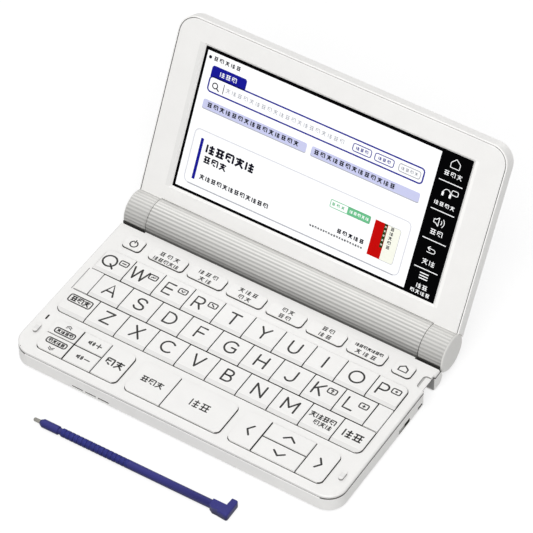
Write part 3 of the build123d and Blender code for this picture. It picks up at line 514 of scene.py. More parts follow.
def roundedPath(x0, y0, x1, y1, r):
    corners = ((x1 - r, y1 - r, 0), (x0 + r, y1 - r, 90), (x0 + r, y0 + r, 180), (x1 - r, y0 + r, 270))
    return [point for x, y, start in corners for point in arc(x, y, r, r, start, start + 90, 4)]


def smoothed(points, steps=4):
    # a curve through all the points
    found = []
    padded = [points[0]] + list(points) + [points[-1]]
    for k in range(1, len(padded) - 2):
        a, b, c, d = (Vector(p) for p in padded[k - 1:k + 3])
        for j in range(steps):
            t = j / steps
            found.append(tuple(0.5 * (2 * b + (c - a) * t + (2 * a - 5 * b + 4 * c - d) * t * t
                                      + (3 * b - a - 3 * c + d) * t * t * t)))
    found.append(points[-1])
    return found


stroke = {"thick": 0.06, "mergeGap": 0.002, "ends": ((0.97, 0.25), (0.7, 0.71), (0.3, 0.95))}


def strokeMesh(name, strokes, width, place, thick=stroke["thick"]):
    # drawn lines with round ends, as low swollen ribbons; the middle of their thickness is at z 0
    line = bpy.data.curves.new(name, "CURVE")
    line.dimensions = "3D"
    line.bevel_depth = width / 2
    line.bevel_resolution = 1
    line.use_fill_caps = True
    half = width / 2
    for points, closed in strokes:
        path = [(Vector(p).to_3d(), 1.0) for p in points]
        if not closed:
            first = (path[0][0] - path[1][0]).normalized()
            last = (path[-1][0] - path[-2][0]).normalized()
            path = ([(path[0][0] + first * half * t, r) for t, r in stroke["ends"]] + path
                    + [(path[-1][0] + last * half * t, r) for t, r in reversed(stroke["ends"])])
        spline = line.splines.new("POLY")
        spline.points.add(len(path) - 1)
        spline.use_cyclic_u = closed
        for point, (spot, radius) in zip(spline.points, path):
            point.co = (*spot, 1)
            point.radius = radius
    holder = bpy.data.objects.new(name, line)
    bpy.context.scene.collection.objects.link(holder)
    bpy.context.view_layer.update()
    drawn = bpy.data.meshes.new_from_object(holder.evaluated_get(bpy.context.evaluated_depsgraph_get()))
    bm = bmesh.new()
    bm.from_mesh(drawn)
    bpy.data.objects.remove(holder)
    bpy.data.curves.remove(line)
    bpy.data.meshes.remove(drawn)
    bmesh.ops.remove_doubles(bm, verts=bm.verts, dist=stroke["mergeGap"])
    bmesh.ops.scale(bm, vec=(1, 1, thick / width), verts=bm.verts)
    return meshFrom(name, bm, place, smooth=True)


legend = {"height": 5.7, "lineWidth": 0.8, "signWidth": 0.56, "baseline": -2.5, "shiftX": -0.1,
          "boxedX": -2.35, "boxCentre": (3.35, 1.95), "boxSize": (3.7, 2.45), "boxCorner": 0.6,
          "rings": "oq", "nudged": "pkl", "nudge": 0.45}
h = legend["height"]
letterStrokes = {
    "a": [[(-2.45, 0), (0.05, h), (2.5, 0)], [(-1.6, 1.85), (1.65, 1.85)]],
    "b": [[(-1.9, 0), (-1.9, h)], [(-1.9, h)] + arc(0.0, 4.35, 1.45, 1.35, 90, -90) + [(-1.9, 3.0)],
          [(-1.9, 3.0)] + arc(0.25, 1.5, 1.6, 1.5, 90, -90) + [(-1.9, 0)]],
    "c": [arc(0.4, h / 2, 2.8, 2.85, 46, 314, 18)],
    "d": [[(-2.2, 0), (-2.2, h)] + arc(-0.45, h / 2, 2.8, 2.85, 90, -90, 12) + [(-2.2, 0)]],
    "e": [[(1.8, h), (-1.8, h), (-1.8, 0), (1.85, 0)], [(-1.8, 2.9), (1.55, 2.9)]],
    "f": [[(1.7, h), (-1.65, h), (-1.65, 0)], [(-1.65, 2.85), (1.45, 2.85)]],
    "g": [arc(0.2, h / 2, 2.8, 2.85, 46, 318, 18) + [(2.3, 1.0), (2.3, 2.75)],
          [(2.3, 2.75), (0.4, 2.75)]],
    "h": [[(-2.1, 0), (-2.1, h)], [(2.1, 0), (2.1, h)], [(-2.1, 2.95), (2.1, 2.95)]],
    "i": [[(-0.1, 0), (-0.1, h)]],
    "j": [[(1.3, h), (1.3, 1.95)] + arc(-0.65, 1.95, 1.95, 1.95, 0, -150, 10)],
    "k": [[(-1.85, 0), (-1.85, h)], [(1.9, h), (-1.85, 2.2)], [(-0.6, 3.3), (1.95, 0)]],
    "l": [[(-1.85, h), (-1.85, 0), (1.95, 0)]],
    "m": [[(-2.75, 0), (-2.75, h)], [(-2.75, h), (0, 1.7)], [(0, 1.7), (2.75, h)],
          [(2.75, h), (2.75, 0)]],
    "n": [[(-2.2, 0), (-2.2, h)], [(-2.2, h), (2.2, 0)], [(2.2, 0), (2.2, h)]],
    "o": [arc(0, h / 2, 2.95, 2.9, 0, 345, 23)],
    "p": [[(-1.85, 0), (-1.85, h)] + arc(0.3, 4.1, 1.65, 1.6, 90, -90) + [(-1.85, 2.5)]],
    "q": [arc(-0.1, h / 2, 2.95, 2.9, 0, 345, 23), [(0.9, 1.6), (2.9, -0.4)]],
    "r": [[(-1.85, 0), (-1.85, h)] + arc(0.3, 4.1, 1.6, 1.6, 90, -90) + [(-1.85, 2.5)],
          [(0.2, 2.5), (1.85, 0)]],
    "s": [smoothed([(1.9, 4.75), (1.3, 5.45), (0.1, 5.75), (-1.2, 5.45), (-1.8, 4.4), (-1.35, 3.45),
                    (0.0, 2.95), (1.4, 2.4), (1.95, 1.4), (1.45, 0.35), (0.1, -0.05), (-1.3, 0.2),
                    (-2.1, 1.05)])],
    "t": [[(-2.2, h), (2.2, h)], [(0, h), (0, 0)]],
    "u": [[(-2.15, h), (-2.15, 2.15)] + arc(0, 2.15, 2.15, 2.15, 180, 360, 12) + [(2.15, h)]],
    "v": [[(-2.25, h), (0, 0)], [(0, 0), (2.25, h)]],
    "w": [[(-3.4, h), (-1.75, 0)], [(-1.75, 0), (0, h)], [(0, h), (1.75, 0)], [(1.75, 0), (3.4, h)]],
    "x": [[(-1.95, h), (2.1, 0)], [(2.0, h), (-2.1, 0)]],
    "y": [[(-2.1, h), (0, 2.8)], [(2.1, h), (0, 2.8)], [(0, 2.8), (0, 0)]],
    "z": [[(-1.95, h), (2.0, h)], [(2.0, h), (-2.0, 0)], [(-2.0, 0), (2.15, 0)]],
}
boxSigns = {
    "q": [[(-0.8, 0), (0.8, 0)]],
    "w": [[(-0.8, -0.2), (-0.2, 0.25), (0.2, -0.1), (0.9, 0.35)]],
    "e": [[(-0.7, 0.3), (0, -0.4), (0.7, 0.3)]],
    "r": [[(-0.6, 0.5), (0.6, -0.5)]],
    "p": [[(-0.35, 0), (0.35, 0)], [(0, -0.3), (0, 0.3)]],
    "k": [[(-0.5, 0.4), (0.1, 0.6), (0.5, 0.2), (0.0, -0.1)], [(0.0, -0.55), (0.05, -0.6)]],
    "l": [[(-0.45, 0), (0.45, 0)], [(0, -0.45), (0, 0.45)]],
}


def keyPlace(node, dx=0.0, dy=0.0):
    # from a drawing on the key's flat top, centred on the key, to the frame
    low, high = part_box(node)
    centre = Vector(((low.x + high.x) / 2 + dx * mm, (low.y + high.y) / 2 + dy * mm, high.z))
    return Matrix.Translation(centre) @ toFrame


def opened(lines):
    return [(points, False) for points in lines]


def rounded(box, radius):
    return [(roundedPath(*box, radius), True)]


def addLegend(node, kind, strokes, width, dx=0.0, dy=0.0):
    mesh = strokeMesh(node + kind, strokes, width, keyPlace(node, dx, dy))
    finishPiece(node + kind, mesh, node + "_cap", [legendInk])


for letter, (first, *others) in letterStrokes.items():
    node = "key_" + letter
    boxed = letter in boxSigns
    dx = legend["boxedX"] if boxed else legend["shiftX"]
    strokes = [(first, letter in legend["rings"])] + opened(others)
    addLegend(node, "_legend", strokes, legend["lineWidth"], dx, legend["baseline"])
    if boxed:
        wide, tall = legend["boxSize"]
        cx, cy = legend["boxCentre"]
        if letter in legend["nudged"]:
            cx -= legend["nudge"]
        signs = rounded((-wide / 2, -tall / 2, wide / 2, tall / 2), legend["boxCorner"])
        addLegend(node, "_sign", signs + opened(boxSigns[letter]), legend["signWidth"], cx, cy)

chevrons = {
    "key_left": [(1.0, 2.5), (-0.8, 0.1), (1.0, -2.3)],
    "key_right": [(-0.8, 2.5), (1.0, 0.1), (-0.8, -2.3)],
    "key_up": [(-2.3, -0.8), (0.1, 1.0), (2.5, -0.8)],
    "key_down": [(-2.3, 0.7), (0.1, -1.1), (2.5, 0.7)],
}
for node, points in chevrons.items():
    addLegend(node, "_legend", opened([points[:2], points[1:]]), legend["lineWidth"])
power = {"ring": (0.15, -0.45, 1.6, 1.6, 65, -245, 16), "bar": [(0.15, 0.3), (0.15, 1.75)], "line": 0.6}
addLegend("key_power", "_legend", opened([arc(*power["ring"]), power["bar"]]), power["line"])
home = {"walls": [(-1.9, -1.4), (-1.9, 0.4), (-0.1, 1.7), (1.7, 0.4), (1.7, -1.4)], "line": 0.68}
addLegend("key_home", "_legend", [(home["walls"], True)], home["line"])

# stand-in signs for words: little woven strokes that spell nothing
weaves = (
    ((0.08, 0.86, 0.92, 0.86), (0.08, 0.5, 0.92, 0.5), (0.3, 0.1, 0.3, 0.86), (0.7, 0.1, 0.7, 0.86),
     (0.08, 0.16, 0.92, 0.16)),
    ((0.15, 0.9, 0.15, 0.1), (0.4, 0.72, 0.95, 0.72), (0.4, 0.42, 0.95, 0.42), (0.66, 0.95, 0.66, 0.06),
     (0.4, 0.14, 0.95, 0.14)),
    ((0.05, 0.8, 0.95, 0.8), (0.5, 0.96, 0.5, 0.45), (0.5, 0.45, 0.08, 0.06), (0.5, 0.45, 0.92, 0.06),
     (0.2, 0.55, 0.8, 0.55)),
    ((0.12, 0.88, 0.88, 0.88), (0.88, 0.88, 0.88, 0.1), (0.12, 0.6, 0.6, 0.6), (0.12, 0.88, 0.12, 0.3),
     (0.3, 0.3, 0.6, 0.12)),
)
weaveSkip = 3  # from one sign to the next


def addWords(bm, centre, count, size, pitch, line, start=0, low=-0.02, high=0.03, index=0):
    # a row of stand-in signs, centred on a point
    x = centre[0] - pitch * count / 2 + (pitch - size) / 2
    for k in range(count):
        for x0, y0, x1, y1 in weaves[(start + k * weaveSkip) % len(weaves)]:
            addBar(bm, x + x0 * size, centre[1] + (y0 - 0.5) * size, x + x1 * size,
                   centre[1] + (y1 - 0.5) * size, line, low, high, index)
        x += pitch


wordRows = {  # node: rows of (centre, count, size, pitch, line)
    "key_shift": [((0.0, 1.85), 3, 2.9, 2.9, 0.56)],
    "key_delete": [((0.05, 0.0), 2, 4.4, 4.6, 0.62)],
    "key_space": [((-0.2, 1.5), 4, 2.9, 2.9, 0.48), ((1.3, -1.6), 3, 2.55, 2.7, 0.42)],
    "key_history": [((0.1, 0.3), 2, 4.1, 4.2, 0.66)],
    "key_back": [((-0.1, 0.2), 3, 3.3, 3.4, 0.5)],
    "key_enter": [((-0.1, 0.05), 2, 4.3, 4.7, 0.52)],
    "key_previous": [((0.3, -1.3), 4, 1.7, 1.9, 0.42)],
    "key_next": [((0.35, 1.25), 4, 1.7, 1.9, 0.42)],
    "key_book_1": [((0.0, 1.1), 3, 2.4, 3.3, 0.36), ((0.1, -2.1), 5, 2.2, 2.4, 0.36)],
    "key_book_2": [((-0.3, 1.3), 3, 2.4, 3.2, 0.36), ((0.0, -1.9), 2, 2.4, 3.2, 0.36)],
    "key_book_3": [((-0.2, 1.6), 3, 2.4, 3.1, 0.36), ((-0.1, -1.7), 2, 2.4, 3.2, 0.36)],
    "key_book_4": [((-0.15, 1.55), 2, 2.4, 3.0, 0.36), ((0.1, -1.7), 2, 2.4, 3.0, 0.36)],
    "key_book_5": [((-0.15, 1.6), 2, 2.4, 3.0, 0.36), ((0.1, -1.6), 2, 2.4, 3.2, 0.36)],
    "key_book_6": [((0.0, 1.4), 7, 1.7, 1.8, 0.36), ((0.1, -1.5), 3, 2.4, 3.4, 0.36)],
}
for number, (node, rows) in enumerate(wordRows.items()):
    bm = bmesh.new()
    for row, settings in enumerate(rows):
        addWords(bm, *settings, number + row)
    mesh = meshFrom(node + "_words", bm, keyPlace(node))
    finishPiece(node + "_words", mesh, node + "_cap", [legendInk])

frames = {"boxes": {"key_shift": (-5.2, -0.05, 5.1, 3.75), "key_previous": (-4.2, -2.6, 4.8, 0.0),
                    "key_next": (-4.15, -0.05, 4.85, 2.55)}, "corner": 0.9, "line": 0.58}
for node, box in frames["boxes"].items():
    addLegend(node, "_frame", rounded(box, frames["corner"]), frames["line"])
arrows = {"ways": {"key_previous": (1, 1.3), "key_next": (-1, -1.6)}, "x": (-1.0, 0.1, 1.2), "rise": 0.75,
          "pitch": 0.8, "line": 0.4}
for node, (way, base) in arrows["ways"].items():
    pair = []
    for lift in (0.0, arrows["pitch"] * way):
        rises = (0.0, arrows["rise"] * way, 0.0)
        pair.append([(x, base + lift + rise) for x, rise in zip(arrows["x"], rises)])
    addLegend(node, "_arrows", opened(pair), arrows["line"])

volume = {
    "horn": [[(-2.3, -0.35), (-2.3, 0.45), (-1.75, 0.45), (-1.1, 1.05), (-1.1, -0.95), (-1.75, -0.35)],
             [(-2.05, -0.1), (-1.35, -0.3), (-1.35, 0.4), (-2.05, 0.2)]],
    "waves": [arc(-0.9, 0.05, 0.7, 0.7, 45, -45, 5), arc(-0.9, 0.05, 1.25, 1.25, 45, -45, 6)],
    "key_volume_up": [[(1.3, 0.05), (3.5, 0.05)], [(2.4, 1.15), (2.4, -1.05)]],
    "key_volume_down": [[(1.3, 0.05), (3.5, 0.05)]],
    "line": 0.5,
}
for node in ("key_volume_up", "key_volume_down"):
    horn = [(points, True) for points in volume["horn"]]
    addLegend(node, "_legend", horn + opened(volume["waves"] + volume[node]), volume["line"])
ridge = {"at": (0.4, -5.25), "half": 0.9, "width": 0.6, "drop": 0.2, "thick": 0.36}
for node in ("key_f", "key_j"):  # raised bars that the forefingers find
    place = keyPlace(node, *ridge["at"]) @ Matrix.Translation((0, 0, -ridge["drop"]))
    run = opened([[(-ridge["half"], 0), (ridge["half"], 0)]])
    bar = strokeMesh(node + "_ridge", run, ridge["width"], place, ridge["thick"])
    finishPiece(node + "_ridge", bar, node + "_cap", [plastic["keyWhite"]])
print("legends printed")


glass = {"face": -1.2, "step": 0.02, "foot": -0.01, "shortest": 0.02}
step = glass["step"]
lidPlace = (Matrix.Translation(Vector(hinge["centre"]) * mm)
            @ Matrix.Rotation(radians(hinge["lean"]), 4, "X") @ toFrame
            @ Matrix.Translation((0, 0, glass["face"])))  # x across and y up from the hinge, on the glass

screenColours = {
    "pageWhite": (252, 253, 254), "pageNavy": (22, 24, 150), "pageInk": (18, 18, 34),
    "pageLavender": (208, 211, 245), "pageGrey": (178, 180, 188), "pageEdge": (228, 229, 234),
    "pageGreen": (112, 200, 146), "pageRed": (200, 8, 6), "pageForest": (36, 60, 24),
    "pageIvory": (250, 251, 238),
}
screenGlow = {"pageWhite": 0.1, "pageIvory": 0.03}
page = {name: litPanel(name, colour, screenGlow.get(name, 0.0)) for name, colour in screenColours.items()}


def layer(level, thick=1.0):  # foot and top, in steps; the lowest layer is sunk in the glass
    return level * step if level else glass["foot"], (level + thick) * step


def pathBars(bm, points, line, level, index, thick=1.0):
    for a, b in zip(points, points[1:]):
        addBar(bm, *a, *b, line, *layer(level, thick), index)


def ringBars(bm, box, radius, line, level, index, thick=1.0):
    # outline of a rounded box, as short bars
    path = roundedPath(*box, radius)
    for a, b in zip(path, path[1:] + path[:1]):
        if (Vector(a) - Vector(b)).length > glass["shortest"]:
            pathBars(bm, (a, b), line, level, index, thick)


def wordBars(bm, rows, level, index, thick=1.0):  # rows of (centre, count, size, pitch, line, first sign)
    for row in rows:
        addWords(bm, *row, *layer(level, thick), index)


def panelPiece(name, bm, *colours):
    mesh = meshFrom(name, bm, lidPlace)
    finishPiece(name, mesh, "lid", [page[colour] for colour in colours])


sheet = {"box": (-59.2, 16.5, 46.8, 75.3), "dot": (-58.3, 72.1, -56.9, 73.5), "dotCorner": 0.69,
         "title": [((-49.75, 72.9), 5, 2.0, 2.6, 0.34, 0)]}
bm = bmesh.new()
addPlate(bm, sheet["box"], 0, *layer(0))
addPlate(bm, sheet["dot"], sheet["dotCorner"], *layer(1), 1)
wordBars(bm, sheet["title"], 1, 1)
panelPiece("displayPage", bm, "pageWhite", "pageInk")

tab = {"box": (-55.7, 65.2, -39.6, 70.1), "corner": 1.1, "foot": (-55.7, 65.2, -39.6, 67.4),
       "footThick": 0.9, "word": [((-47.9, 67.6), 3, 2.4, 2.8, 0.3, 1)]}
bm = bmesh.new()
addPlate(bm, tab["box"], tab["corner"], *layer(1))
addPlate(bm, tab["foot"], 0, *layer(1, tab["footThick"]))
wordBars(bm, tab["word"], 2, 1)
panelPiece("displayTab", bm, "pageNavy", "pageWhite")

search = {
    "box": (-55.6, 59.2, 42.2, 65.5), "corner": 1.4, "line": 0.62,
    "lens": (-53.75, 61.05, -51.45, 63.35), "lensCorner": 1.14, "lensLine": 0.45,
    "handle": ((-51.75, 61.4), (-50.5, 60.5)), "handleLine": 0.5,
    "cursor": ((-48.7, 60.2), (-48.7, 64.3)), "cursorLine": 0.3,
    "hint": [((-20.4, 62.3), 20, 2.1, 2.76, 0.22, 2)],
    "chips": ((10.8, 19.0, 3, 0), (20.7, 29.1, 3, 0), (31.4, 40.9, 4, 2)),  # left, right, signs, colour
    "chipY": (60.7, 63.8), "chipCorner": 0.8, "chipLine": 0.36, "chipWord": (1.5, 2.0, 0.26, 1),
}
bm = bmesh.new()
ringBars(bm, search["box"], search["corner"], search["line"], 1, 0)
ringBars(bm, search["lens"], search["lensCorner"], search["lensLine"], 1, 1)
pathBars(bm, search["handle"], search["handleLine"], 1, 1)
pathBars(bm, search["cursor"], search["cursorLine"], 1, 1)
wordBars(bm, search["hint"], 1, 2)
low, high = search["chipY"]
for left, right, count, colour in search["chips"]:
    ringBars(bm, (left, low, right, high), search["chipCorner"], search["chipLine"], 1, colour)
    wordBars(bm, [(((left + right) / 2, (low + high) / 2), count, *search["chipWord"])], 1, colour)
panelPiece("displaySearch", bm, "pageNavy", "pageInk", "pageGrey")

buttons = {"y": (51.7, 55.6), "corner": 0.8, "wordY": 53.75, "word": (2.2, 2.86, 0.4, 0),
           "places": ((-56.0, -8.0, -32.8, 15), (-5.8, 43.0, 13.8, 13)),  # left, right, middle, signs
           "shade": (-0.35, -1.0), "shadeCorner": 0.7, "shadeThick": 0.6}
low, high = buttons["y"]
bm = bmesh.new()
for left, right, middle, count in buttons["places"]:
    shade = (left, low + buttons["shade"][0], right, high + buttons["shade"][1])
    addPlate(bm, shade, buttons["shadeCorner"], *layer(1, buttons["shadeThick"]), 2)
    addPlate(bm, (left, low, right, high), buttons["corner"], *layer(1))
    wordBars(bm, [((middle, buttons["wordY"]), count, *buttons["word"])], 2, 1)
panelPiece("displayButtons", bm, "pageLavender", "pageInk", "pageGrey")

card = {
    "box": (-56.2, 19.5, 43.0, 42.8), "corner": 2.2, "line": 0.5,
    "shade": ((-54.2, 19.35), (41.0, 19.35)), "shadeLine": 0.4, "shadeThick": 1.4,
    "stripe": (-52.9, 21.7, -51.6, 39.5), "stripeCorner": 0.1,
    "lines": [((-38.7, 36.2), 5, 4.2, 4.6, 0.86, 1), ((-44.5, 31.5), 3, 3.3, 3.7, 0.64, 0),
              ((-33.6, 23.9), 12, 2.3, 2.72, 0.42, 2), ((19.6, 27.0), 5, 2.0, 2.55, 0.42, 0),
              ((13.6, 24.4), 20, 0.9, 1.22, 0.2, 1)],
    "badge": (7.9, 35.1, 25.8, 38.2), "badgeCorner": 0.4, "badgeLine": 0.3,
    "badgeFill": (15.6, 35.1, 25.8, 38.2), "fillCorner": 0.3,
    "badgeWord": [((11.4, 36.65), 3, 1.4, 2.1, 0.26, 0)], "fillWord": [((20.9, 36.65), 5, 1.4, 1.8, 0.24, 1)],
}
bm = bmesh.new()
ringBars(bm, card["box"], card["corner"], card["line"], 1, 5)
pathBars(bm, card["shade"], card["shadeLine"], 1, 2, card["shadeThick"])
addPlate(bm, card["stripe"], card["stripeCorner"], *layer(1), 0)
wordBars(bm, card["lines"], 1, 1)
ringBars(bm, card["badge"], card["badgeCorner"], card["badgeLine"], 1, 3)
addPlate(bm, card["badgeFill"], card["fillCorner"], *layer(1), 3)
wordBars(bm, card["badgeWord"], 1, 3)
wordBars(bm, card["fillWord"], 2, 4)
panelPiece("displayCard", bm, "pageNavy", "pageInk", "pageGrey", "pageGreen", "pageWhite", "pageEdge")

book = {
    "ivory": (33.0, 23.1, 39.6, 38.1), "corner": 0.9, "edgeLine": 0.16, "edgeThick": 0.3,
    "red": (28.05, 23.1, 33.75, 38.1), "redThick": 1.6,
    "forest": (32.3, 27.9, 33.6, 38.1), "forestLevel": 2.6, "forestThick": 0.6, "signs": 5,
    "title": (35.9, 37.0, 1.95, (1.6, 1.6, 0.26)), "spine": (32.95, 36.9, 1.9, (0.8, 0.8, 0.16)),
    "spineLevel": 3.2, "spineThick": 0.6,
}
bm = bmesh.new()
addPlate(bm, book["ivory"], book["corner"], *layer(1), 1)
ringBars(bm, book["ivory"], book["corner"], book["edgeLine"], 2, 4, book["edgeThick"])
addPlate(bm, book["red"], 0, *layer(1, book["redThick"]), 0)
addPlate(bm, book["forest"], 0, *layer(book["forestLevel"], book["forestThick"]), 2)
for k in range(book["signs"]):
    u, v, fall, sizes = book["title"]
    wordBars(bm, [((u, v - k * fall), 1, *sizes, k)], 2, 3)
    u, v, fall, sizes = book["spine"]
    wordBars(bm, [((u, v - k * fall), 1, *sizes, k + 1)], book["spineLevel"], 1, book["spineThick"])
panelPiece("displayBook", bm, "pageRed", "pageIvory", "pageForest", "pageInk", "pageGrey")

softKeys = {
    "thick": 2, "paths": [
        *[([(48.5, v), (58.8, v)], 0.34) for v in (64.5, 52.2, 39.65, 27.25)],
        ([(51.6, 70.7), (51.6, 72.7), (53.5, 74.5), (55.5, 72.9), (55.5, 70.7), (51.6, 70.7)], 0.28),
        (arc(53.2, 60.0, 1.6, 1.7, 0, 180, 8), 0.28),
        ([(51.2, 47.1), (51.2, 48.5), (52.1, 48.5), (53.3, 49.6), (53.3, 46.0), (52.1, 47.1),
          (51.2, 47.1)], 0.3),
        (arc(53.6, 47.8, 1.0, 1.1, 50, -50, 5), 0.28),
        (arc(53.6, 47.8, 2.1, 2.2, 50, -50, 6), 0.28),
        ([(51.8, 34.5), (54.3, 34.5)] + arc(54.3, 35.35, 1.0, 0.85, -90, 90, 6) + [(52.0, 36.2)], 0.28),
        ([(53.0, 37.1), (51.9, 36.2), (53.0, 35.3)], 0.28),
        *[([(51.6, v), (55.4, v)], 0.42) for v in (25.45, 24.3, 23.2)],
    ],
    "cups": [(51.15, 58.6, 52.05, 60.3), (54.35, 58.6, 55.25, 60.3)], "cupCorner": 0.3,
    "lead": (55.1, 60.3, 57.9, 62.2), "leadCorner": 0.6, "leadLine": 0.28,
    "words": [((53.7, 68.0), 3, 2.3, 2.8, 0.26, 0), ((53.55, 55.15), 4, 1.9, 2.35, 0.27, 1),
              ((53.6, 43.2), 2, 2.6, 3.0, 0.28, 0), ((53.75, 30.4), 2, 2.6, 3.0, 0.28, 2),
              ((53.85, 19.9), 2, 2.3, 2.7, 0.3, 1), ((53.75, 17.3), 4, 1.8, 2.25, 0.27, 3)],
}
bm = bmesh.new()
for points, line in softKeys["paths"]:
    pathBars(bm, points, line, 0, 0, softKeys["thick"])
for box in softKeys["cups"]:
    addPlate(bm, box, softKeys["cupCorner"], *layer(0, softKeys["thick"]))
ringBars(bm, softKeys["lead"], softKeys["leadCorner"], softKeys["leadLine"], 0, 0, softKeys["thick"])
wordBars(bm, softKeys["words"], 0, 0, softKeys["thick"])
panelPiece("displaySoftKeys", bm, "pageWhite")
print("display drawn")


def addRib(bm, x0, x1, middle):
    # one convex rib: a line along the barrel, spun round the rib's own axis
    half = pi / barrel["ribs"]
    base, crown = barrel["radius"], barrel["radius"] + barrel["proud"]
    rise = crown - base * cos(half)
    bend = (base * sin(half)) ** 2 / (2 * rise) + rise / 2
    sweep = 2 * asin(base * sin(half) / bend)
    part = bmesh.new()
    ends = [part.verts.new((x, base * sin(half), base * cos(half))) for x in (x0, x1)]
    line = part.edges.new(ends)
    bmesh.ops.spin(part, geom=ends + [line], cent=(0, 0, crown - bend), axis=(1, 0, 0), angle=sweep,
                   steps=barrel["steps"], use_merge=False, use_duplicate=False)
    if sum(face.normal.z for face in part.faces) < 0:
        bmesh.ops.reverse_faces(part, faces=part.faces)
    bmesh.ops.solidify(part, geom=part.faces[:], thickness=barrel["skin"])
    turn = Matrix.Rotation(radians(middle) - pi / 2, 4, "X")
    bmesh.ops.transform(part, verts=part.verts, matrix=Matrix.Translation(hinge["centre"]) @ turn)
    merge(bm, part)


sharpAngle = radians(30)


def ribPiece(name, spans, zones, body, finish):
    # ribs whose middles lie in the given zones, in degrees: 0 is the rear, 90 the top, 180 the front
    bm = bmesh.new()
    pitch = 360 / barrel["ribs"]
    for number in range(barrel["ribs"]):
        middle = (barrel["firstGroove"] + (number + 0.5) * pitch) % 360
        if any(start <= middle <= end for start, end in zones):
            for x0, x1 in spans:
                addRib(bm, x0, x1, middle)
    mesh = meshFrom(name, bm, toFrame, smooth=True)
    mesh.set_sharp_from_angle(angle=sharpAngle)
    finishPiece(name, mesh, body, [plastic[finish]])


def mirrored(span):
    return [span, (-span[1], -span[0])]


ribPiece("barrelRibs", [barrel["shellX"]], [(0, 192), (213, 257), (356, 360)], "base", "barrelGrey")
ribPiece("doorRibs", [barrel["doorX"]], [(270, 346)], "battery_door", "barrelGrey")
ribPiece("knobRibs", mirrored(barrel["knobX"]), [(0, 360)], "lid", "knobGrey")
print("barrel ribbed")

# tongue in the front half of the data socket: its box in y and z, its span in x
socket = {"box": (-0.62, 1.25, 3.9, 3.35), "x": (72.6, 73.75), "corner": 0.3}
bm = bmesh.new()
addPlate(bm, socket["box"], socket["corner"], *socket["x"])
sideways = Matrix(((0, 0, 1, 0), (1, 0, 0, 0), (0, 1, 0, 0), (0, 0, 0, 1)))
mesh = meshFrom("socketTongue", bm, toFrame @ sideways)
finishPiece("socketTongue", mesh, "base", [plastic["tongueGrey"]])
print("socket filled")

# dark strips that stand in for the shade in the gap under the two knobs
shadeStrip = {"x": (63.4, 73.6), "y": (30.56, 30.84), "z": (7.45, 9.85), "corner": 0.12}
bm = bmesh.new()
for x0, x1 in mirrored(shadeStrip["x"]):
    addPlate(bm, (x0, shadeStrip["y"][0], x1, shadeStrip["y"][1]), shadeStrip["corner"], *shadeStrip["z"])
finishPiece("knobLips", meshFrom("knobLips", bm, toFrame), "base", [plastic["lipBlack"]])
print("gaps under the knobs closed")

# the stylus again, with the rims of its head rounded
rounding = {"start": 33.6, "sharp": 40, "radius": 0.5, "steps": 3, "flat": 1, "mergeGap": 0.001}
bm = bmesh.new()
bm.from_mesh(nodes["stylus"].data)
bmesh.ops.remove_doubles(bm, verts=bm.verts, dist=rounding["mergeGap"] * mm)
bmesh.ops.dissolve_limit(bm, angle_limit=radians(rounding["flat"]), verts=bm.verts, edges=bm.edges)
rims = [e for e in bm.edges if e.is_convex and e.calc_face_angle() > radians(rounding["sharp"])
        and min(v.co.x for v in e.verts) > rounding["start"] * mm]
bmesh.ops.bevel(bm, geom=rims, offset=rounding["radius"] * mm, offset_type="OFFSET",
                segments=rounding["steps"], profile=0.5, affect="EDGES", material=-1)
mesh = meshFrom("stylusRounded", bm, smooth=True)
mesh.set_sharp_from_angle(angle=sharpAngle)
stylusPiece = finishPiece("stylusRounded", mesh, "stylus_body", [plastic["stylusBlue"]])
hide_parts("stylus")

bm = bmesh.new()
for k in range(grip["count"]):
    part = bmesh.new()
    bmesh.ops.create_cone(part, cap_ends=True, segments=grip["sides"], radius1=grip["outer"],
                          radius2=grip["outer"], depth=grip["length"])
    rims = [e for e in part.edges if abs(e.verts[0].co.z - e.verts[1].co.z) < stroke["mergeGap"]]
    bmesh.ops.bevel(part, geom=rims, offset=grip["round"], offset_type="OFFSET", segments=grip["steps"],
                    profile=0.5, affect="EDGES", material=-1)
    along = Matrix.Translation((grip["start"] + grip["pitch"] * k, 0, 0))
    bmesh.ops.transform(part, verts=part.verts, matrix=along @ Matrix.Rotation(pi / 2, 4, "Y"))
    merge(bm, part)
place = toFrame @ Matrix.Translation(grip["tip"]) @ Matrix.Rotation(radians(grip["turn"]), 4, "Z")
mesh = meshFrom("stylusGripRibs", bm, place, smooth=True)
finishPiece("stylusGripRibs", mesh, "stylus_body", [plastic["gripBlue"]])
print("stylus ribbed")


shot = {"place": (448.8, -689.9, 935.1), "target": (-16.52, 48.19, -0.6), "lens": 215.48, "sensor": 36.0,
        "clip": (0.05, 20)}
scene = bpy.context.scene
camera = bpy.data.objects.new("camera", bpy.data.cameras.new("camera"))
scene.collection.objects.link(camera)
camera.location = Vector(shot["place"]) * mm
camera.rotation_mode = "QUATERNION"
camera.rotation_quaternion = (Vector(shot["target"]) - Vector(shot["place"])).to_track_quat("-Z", "Y")
camera.data.lens = shot["lens"]
camera.data.sensor_width = shot["sensor"]
camera.data.clip_start, camera.data.clip_end = shot["clip"]
scene.camera = camera
scene.view_settings.view_transform = "Standard"

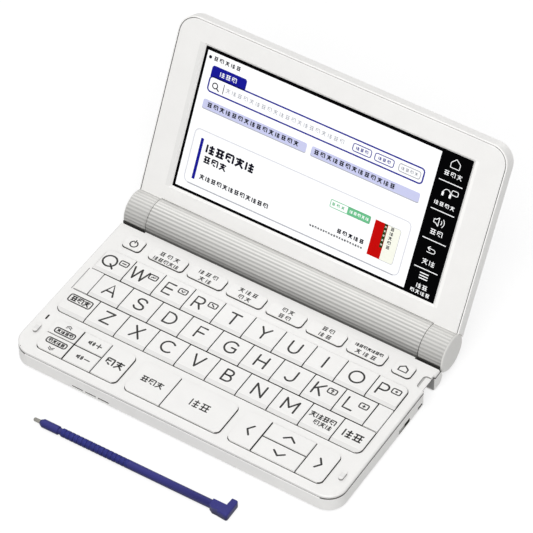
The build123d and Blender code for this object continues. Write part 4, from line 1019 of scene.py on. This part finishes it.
lamps = {
    "keyLamp": {"place": (0.375, -0.75, 1.245), "size": 1.2, "power": 17.7},
    "rearLamp": {"place": (-0.69, 0.3, 1.29), "size": 0.8, "power": 3.4},
    "backLamp": {"place": (-0.1, 1.3, 0.12), "size": 0.4, "power": 1.2},
}
for name, lamp in lamps.items():
    light = bpy.data.lights.new(name, "AREA")
    light.energy = lamp["power"]
    light.size = lamp["size"]
    holder = bpy.data.objects.new(name, light)
    holder.location = lamp["place"]
    holder.rotation_mode = "QUATERNION"
    holder.rotation_quaternion = (-Vector(lamp["place"])).to_track_quat("-Z", "Y")
    scene.collection.objects.link(holder)


def seenSwitch(tree, lighting, seen, output):
    # one shader for the light in the room, another for what the camera, glossy and clear surfaces see
    path = tree.nodes.new("ShaderNodeLightPath").outputs
    isSeen = largest(tree, path["Is Camera Ray"], path["Is Glossy Ray"], path["Is Transmission Ray"])
    switch = addNode(tree, "ShaderNodeMixShader", {"Fac": isSeen, 1: lighting.outputs[0], 2: seen.outputs[0]})
    setInputs(tree, output, {"Surface": switch.outputs[0]})


room = {"glow": 0.36, "white": 1.0}
world = bpy.data.worlds.new("studio")
scene.world = world
world.use_nodes = True
tree = world.node_tree
tree.nodes.clear()
roomGlow = addNode(tree, "ShaderNodeBackground", {"Strength": room["glow"]})
whiteBack = addNode(tree, "ShaderNodeBackground", {"Strength": room["white"], "Color": grey(1.0)})
seenSwitch(tree, roomGlow, whiteBack, tree.nodes.new("ShaderNodeOutputWorld"))

ground = {"half": 1.6, "cells": 8, "gap": 0.02, "tint": 0.58, "roughness": 0.9, "shadow": 0.34, "glow": 0.72}
bm = bmesh.new()
bmesh.ops.create_grid(bm, x_segments=ground["cells"], y_segments=ground["cells"], size=ground["half"])
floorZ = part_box("lower_case")[0].z
bmesh.ops.translate(bm, vec=(0, 0, floorZ - ground["gap"] * mm), verts=bm.verts)
floor = bpy.data.objects.new("floor", meshFrom("floor", bm))
scene.collection.objects.link(floor)
material, tree, shader, coords = startMaterial("paleFloor")
setInputs(tree, shader, {"Base Color": grey(ground["tint"]), "Roughness": ground["roughness"],
                         "Specular IOR Level": 0.0})
# what is seen of the floor: white, with a soft shadow
shadowed = addNode(tree, "ShaderNodeBsdfDiffuse", {"Color": grey(ground["shadow"])})
brightness = addNode(tree, "ShaderNodeEmission", {"Strength": ground["glow"]})
seenFloor = addNode(tree, "ShaderNodeAddShader", {0: shadowed.outputs[0], 1: brightness.outputs[0]})
seenSwitch(tree, shader, seenFloor, tree.nodes["Material Output"])
floor.data.materials.append(material)
print("stage set")
